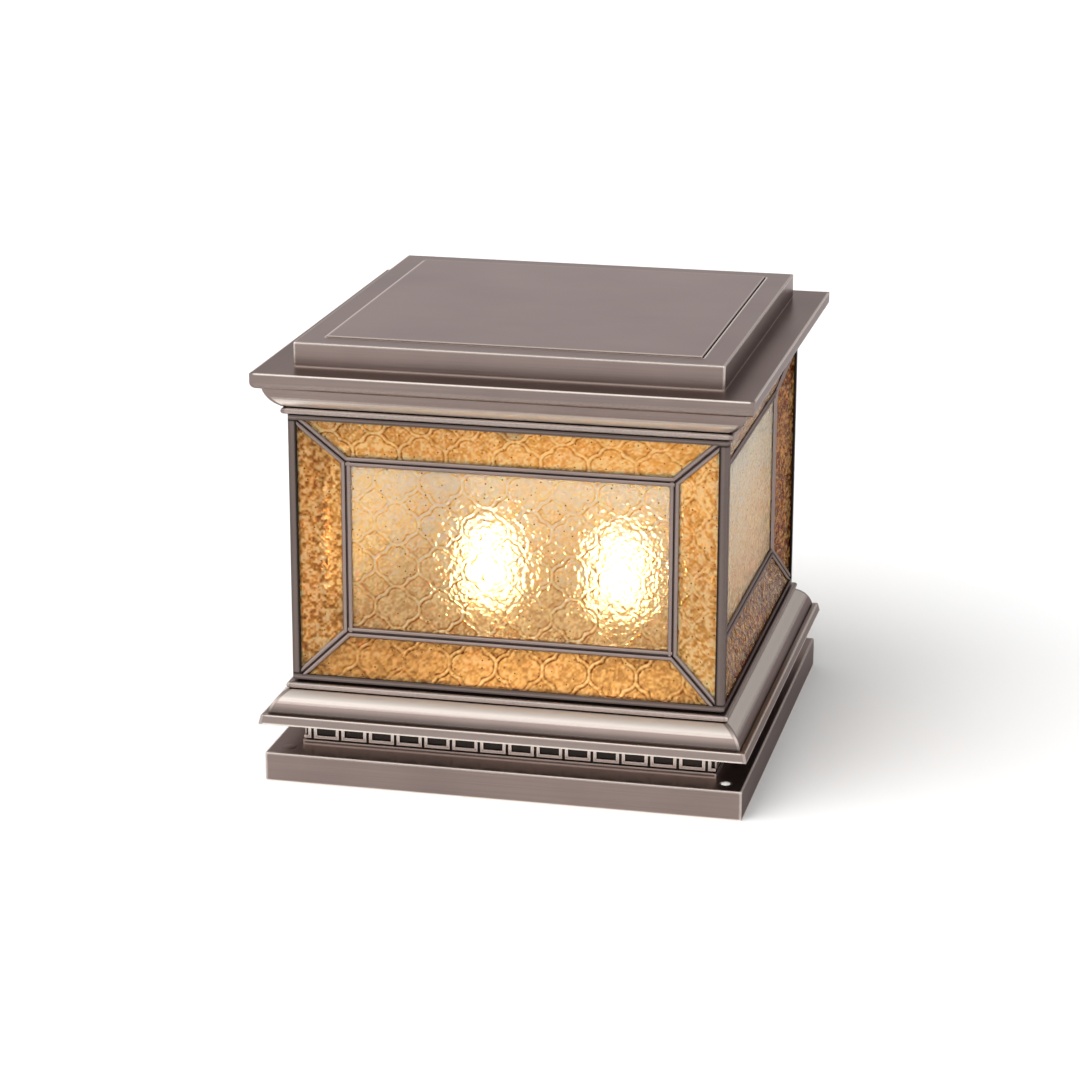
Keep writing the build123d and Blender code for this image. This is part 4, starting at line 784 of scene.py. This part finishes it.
class PILLAR_OT_bolt_plugs(bpy.types.Operator):
    """Fills the bolt holes of the base: one white plug at the front right, and three bronze ones"""

    bl_idname = "pillar.bolt_plugs"
    bl_label = "Bolt plugs"

    def execute(self, context):
        sleeve_radius, stem_radius, stem_end = 7.0, 3.24, -1.2
        dome_radius, dome_height, dome_fall = 2.8, 0.7, 0.6
        flat_radius, flat_height = 4.4, 0.08
        reach = box_mm("bolt_sleeves")[1][0] - sleeve_radius
        top = box_mm("base_tray")[1][2]
        # A low domed head over a stem that grips the hole, or a thin flat head that hides it
        stem = [(stem_radius, stem_end), (0.0, stem_end)]
        dome = [(r, dome_height - dome_fall * (r / dome_radius) ** 2) for r in np.linspace(0, dome_radius, 9)]
        domed = [*dome, (2.9, -0.3), (stem_radius, -0.4), *stem]
        flush = [(0.0, flat_height), (flat_radius, flat_height), (4.7, 0.02), (stem_radius, 0.0), *stem]
        # Moulded nylon: clean white with a faint bloom
        nylon = grained("White nylon", "#eeede8", "#fbfaf6", 2.0, (0.35, 0.50), 0.02)
        bronze = brushed_bronze("Brushed bronze plug", context.scene.pillar_metal, 0, 0.92, edge_light_shade_and_wear=0.0)
        for name, profile, places, finish, slot in (
                ("bolt_plug_white", domed, [(1, -1)], nylon, "lamp_white"),
                ("bolt_plugs_bronze", flush, [(-1, -1), (-1, 1), (1, 1)], bronze, "bronze_aluminium")):
            points, faces = [], []
            for x, y in places:
                plug_points, plug_faces = revolved(profile, (x * reach, y * reach, top))
                start = sum(map(len, points))
                faces += [[i + start for i in face] for face in plug_faces]
                points.append(plug_points)
            piece = put_mesh(name, np.vstack(points) * MM, faces, len(faces))
            piece.data.materials.append(finish)
            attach(piece, "lantern")
        return {"FINISHED"}


class PILLAR_OT_lamps(bpy.types.Operator):
    """Gives the lamps and their holders their finishes, and lights the globes"""

    bl_idname = "pillar.lamps"
    bl_label = "Lamps"

    def execute(self, context):
        lamp = context.scene.pillar_lamp
        (_, _, low), (_, _, high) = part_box("bulb_left_globe")
        # Milky moulded globe, lit from inside: an even glow that dies away at the neck and the crown
        opal, tree, shader, coords = surface("Opal polycarbonate, lit", Roughness=0.35,
                                             Base_Color=rgba(linear("#f6efe2")), Emission_Strength=lamp.glow)
        height = node(tree, "ShaderNodeSeparateXYZ", {"Vector": coords}).outputs["Z"]
        share = node(tree, "ShaderNodeMapRange", {"Value": height, "From Min": low, "From Max": high})
        dim = tuple(0.03 * c for c in lamp.colour)
        glow = node(tree, "ShaderNodeValToRGB", {"Fac": share.outputs["Result"]},
                    [(0.05, dim), (0.35, lamp.colour), (0.70, lamp.colour), (0.98, dim)])
        tree.links.new(glow.outputs["Color"], shader.inputs["Emission Color"])
        # Moulded lamp body: warm white with a fine eggshell
        white = grained("White polybutylene", "#e2e0da", "#efede8", 1.2, (0.40, 0.52), 0.03)
        # Rolled shell under bright nickel: warm silver, clouded where it was handled
        cap = grained("Nickel-plated lamp cap", "#b5b1aa", "#d4d1cb", 3.0, (0.20, 0.36), Metallic=1.0)
        # Fired clay under clear glaze: creamy white, glossy, with a slow ripple
        ceramic = grained("Glazed porcelain", "#e5e2da", "#f2f0ea", 6.0, (0.12, 0.22), 0.06)
        # Drawn strip: yellow metal, slightly tarnished
        brass = grained("Drawn brass", "#b8924c", "#dcba74", 2.5, (0.22, 0.38), Metallic=1.0)
        for side in LAMPS:
            dress(opal, f"bulb_{side}_globe")
            dress(white, f"bulb_{side}_body")
            dress(cap, f"bulb_{side}_cap")
            dress(ceramic, f"lampholder_{side}")
            dress(brass, f"holder_contact_{side}")
        return {"FINISHED"}


class PILLAR_OT_stage(bpy.types.Operator):
    """Sets up the pale floor, the soft studio light and the camera"""

    bl_idname = "pillar.stage"
    bl_label = "Stage"

    def execute(self, context):
        stage = context.scene.pillar_stage
        scene = context.scene
        scene.view_settings.view_transform = "Standard"
        world = bpy.data.worlds.new("Studio")
        world.use_nodes = True
        tree = world.node_tree
        tree.nodes.clear()
        # Behind, a white wall under a dim ceiling; in front, a dim wall under a broad soft box half-way up,
        # which the mouldings mirror as one pale band; the right-hand side dimmer than the left
        direction = node(tree, "ShaderNodeTexCoord").outputs["Generated"]
        x, y, z = node(tree, "ShaderNodeSeparateXYZ", {"Vector": direction}).outputs
        behind, ahead, across = (
            node(tree, "ShaderNodeValToRGB", {"Fac": along}, grey_stops(brightest, levels)).outputs["Color"]
            for along, brightest, levels in ((z, BRIGHTEST, WALL_BEHIND), (z, BRIGHTEST, WALL_AHEAD),
                                             (x, 1.0, WALL_ACROSS)))
        facing = node(tree, "ShaderNodeMapRange", {"Value": y, "From Min": 0.1, "From Max": -0.35})
        walls = node(tree, "ShaderNodeMix", {"Factor": facing.outputs["Result"], "A": behind, "B": ahead},
                     data_type="RGBA").outputs["Result"]
        walls = node(tree, "ShaderNodeMix", {"Factor": 1.0, "A": walls, "B": across}, data_type="RGBA",
                     blend_type="MULTIPLY").outputs["Result"]
        light = node(tree, "ShaderNodeBackground", {"Color": walls, "Strength": stage.fill * BRIGHTEST})
        node(tree, "ShaderNodeOutputWorld", {"Surface": light.outputs[0]})
        scene.world = world
        corners = [(x * FLOOR_REACH, y * FLOOR_REACH, 0) for x, y in ((-1, -1), (1, -1), (1, 1), (-1, 1))]
        floor = put_mesh("floor", corners, [[0, 1, 2, 3]], 0)
        paper, _, _, _ = surface("Pale paper", Roughness=0.9, Base_Color=rgba(stage.floor))
        floor.data.materials.append(paper)
        # A wide soft light that falls from the front left, and that the metal doesn't mirror
        falls, width = Vector((0.42, 0.66, -1.0)), math.radians(60)
        sun = bpy.data.lights.new("key", "SUN")
        sun.energy, sun.angle = stage.key, width
        key = bpy.data.objects.new("key", sun)
        key.rotation_euler = falls.to_track_quat("-Z", "Y").to_euler()
        key.visible_glossy = False
        scene.collection.objects.link(key)
        a, e = stage.azimuth, stage.elevation
        back = Vector((math.sin(a) * math.cos(e), -math.cos(a) * math.cos(e), math.sin(e)))
        right = Vector((math.cos(a), math.sin(a), 0.0))
        up = back.cross(right)
        c, s = math.cos(stage.roll), math.sin(stage.roll)
        turn = Matrix((right * c + up * s, up * c - right * s, back)).transposed()
        data = bpy.data.cameras.new("photo_camera")
        data.sensor_width = 36.0
        data.lens = stage.lens
        camera = bpy.data.objects.new("photo_camera", data)
        camera.matrix_world = Matrix.Translation(Vector(stage.target) + back * stage.distance) @ turn.to_4x4()
        scene.collection.objects.link(camera)
        scene.camera = camera
        return {"FINISHED"}


class PILLAR_PT_panel(bpy.types.Panel):
    """Lists the operators that dress the pillar light"""

    bl_label = "Pillar Light"
    bl_space_type = "VIEW_3D"
    bl_region_type = "UI"
    bl_category = "Pillar Light"

    def draw(self, context):
        for operator in OPERATORS:
            self.layout.operator(operator.bl_idname)


GROUPS = {"pillar_glass": GlassSettings, "pillar_metal": MetalSettings, "pillar_lamp": LampSettings,
          "pillar_stage": StageSettings}
OPERATORS = (PILLAR_OT_stage, PILLAR_OT_bronze, PILLAR_OT_fittings, PILLAR_OT_bolt_plugs, PILLAR_OT_lamps,
             PILLAR_OT_centre_panes, PILLAR_OT_border_panes)


def register():
    """Registers the classes and hangs the settings on the scene."""
    for made in (*GROUPS.values(), *OPERATORS, PILLAR_PT_panel):
        bpy.utils.register_class(made)
    for name, group in GROUPS.items():
        setattr(bpy.types.Scene, name, bpy.props.PointerProperty(type=group))


def unregister():
    """Takes the settings and the classes away again."""
    for name in GROUPS:
        delattr(bpy.types.Scene, name)
    for made in (PILLAR_PT_panel, *reversed(OPERATORS), *reversed(GROUPS.values())):
        bpy.utils.unregister_class(made)


def main():
    """Builds every piece in order."""
    register()
    bpy.ops.pillar.stage()
    bpy.ops.pillar.bronze()
    bpy.ops.pillar.fittings()
    bpy.ops.pillar.bolt_plugs()
    bpy.ops.pillar.lamps()
    bpy.ops.pillar.centre_panes()
    bpy.ops.pillar.border_panes()


if __name__ == "__main__":
    main()
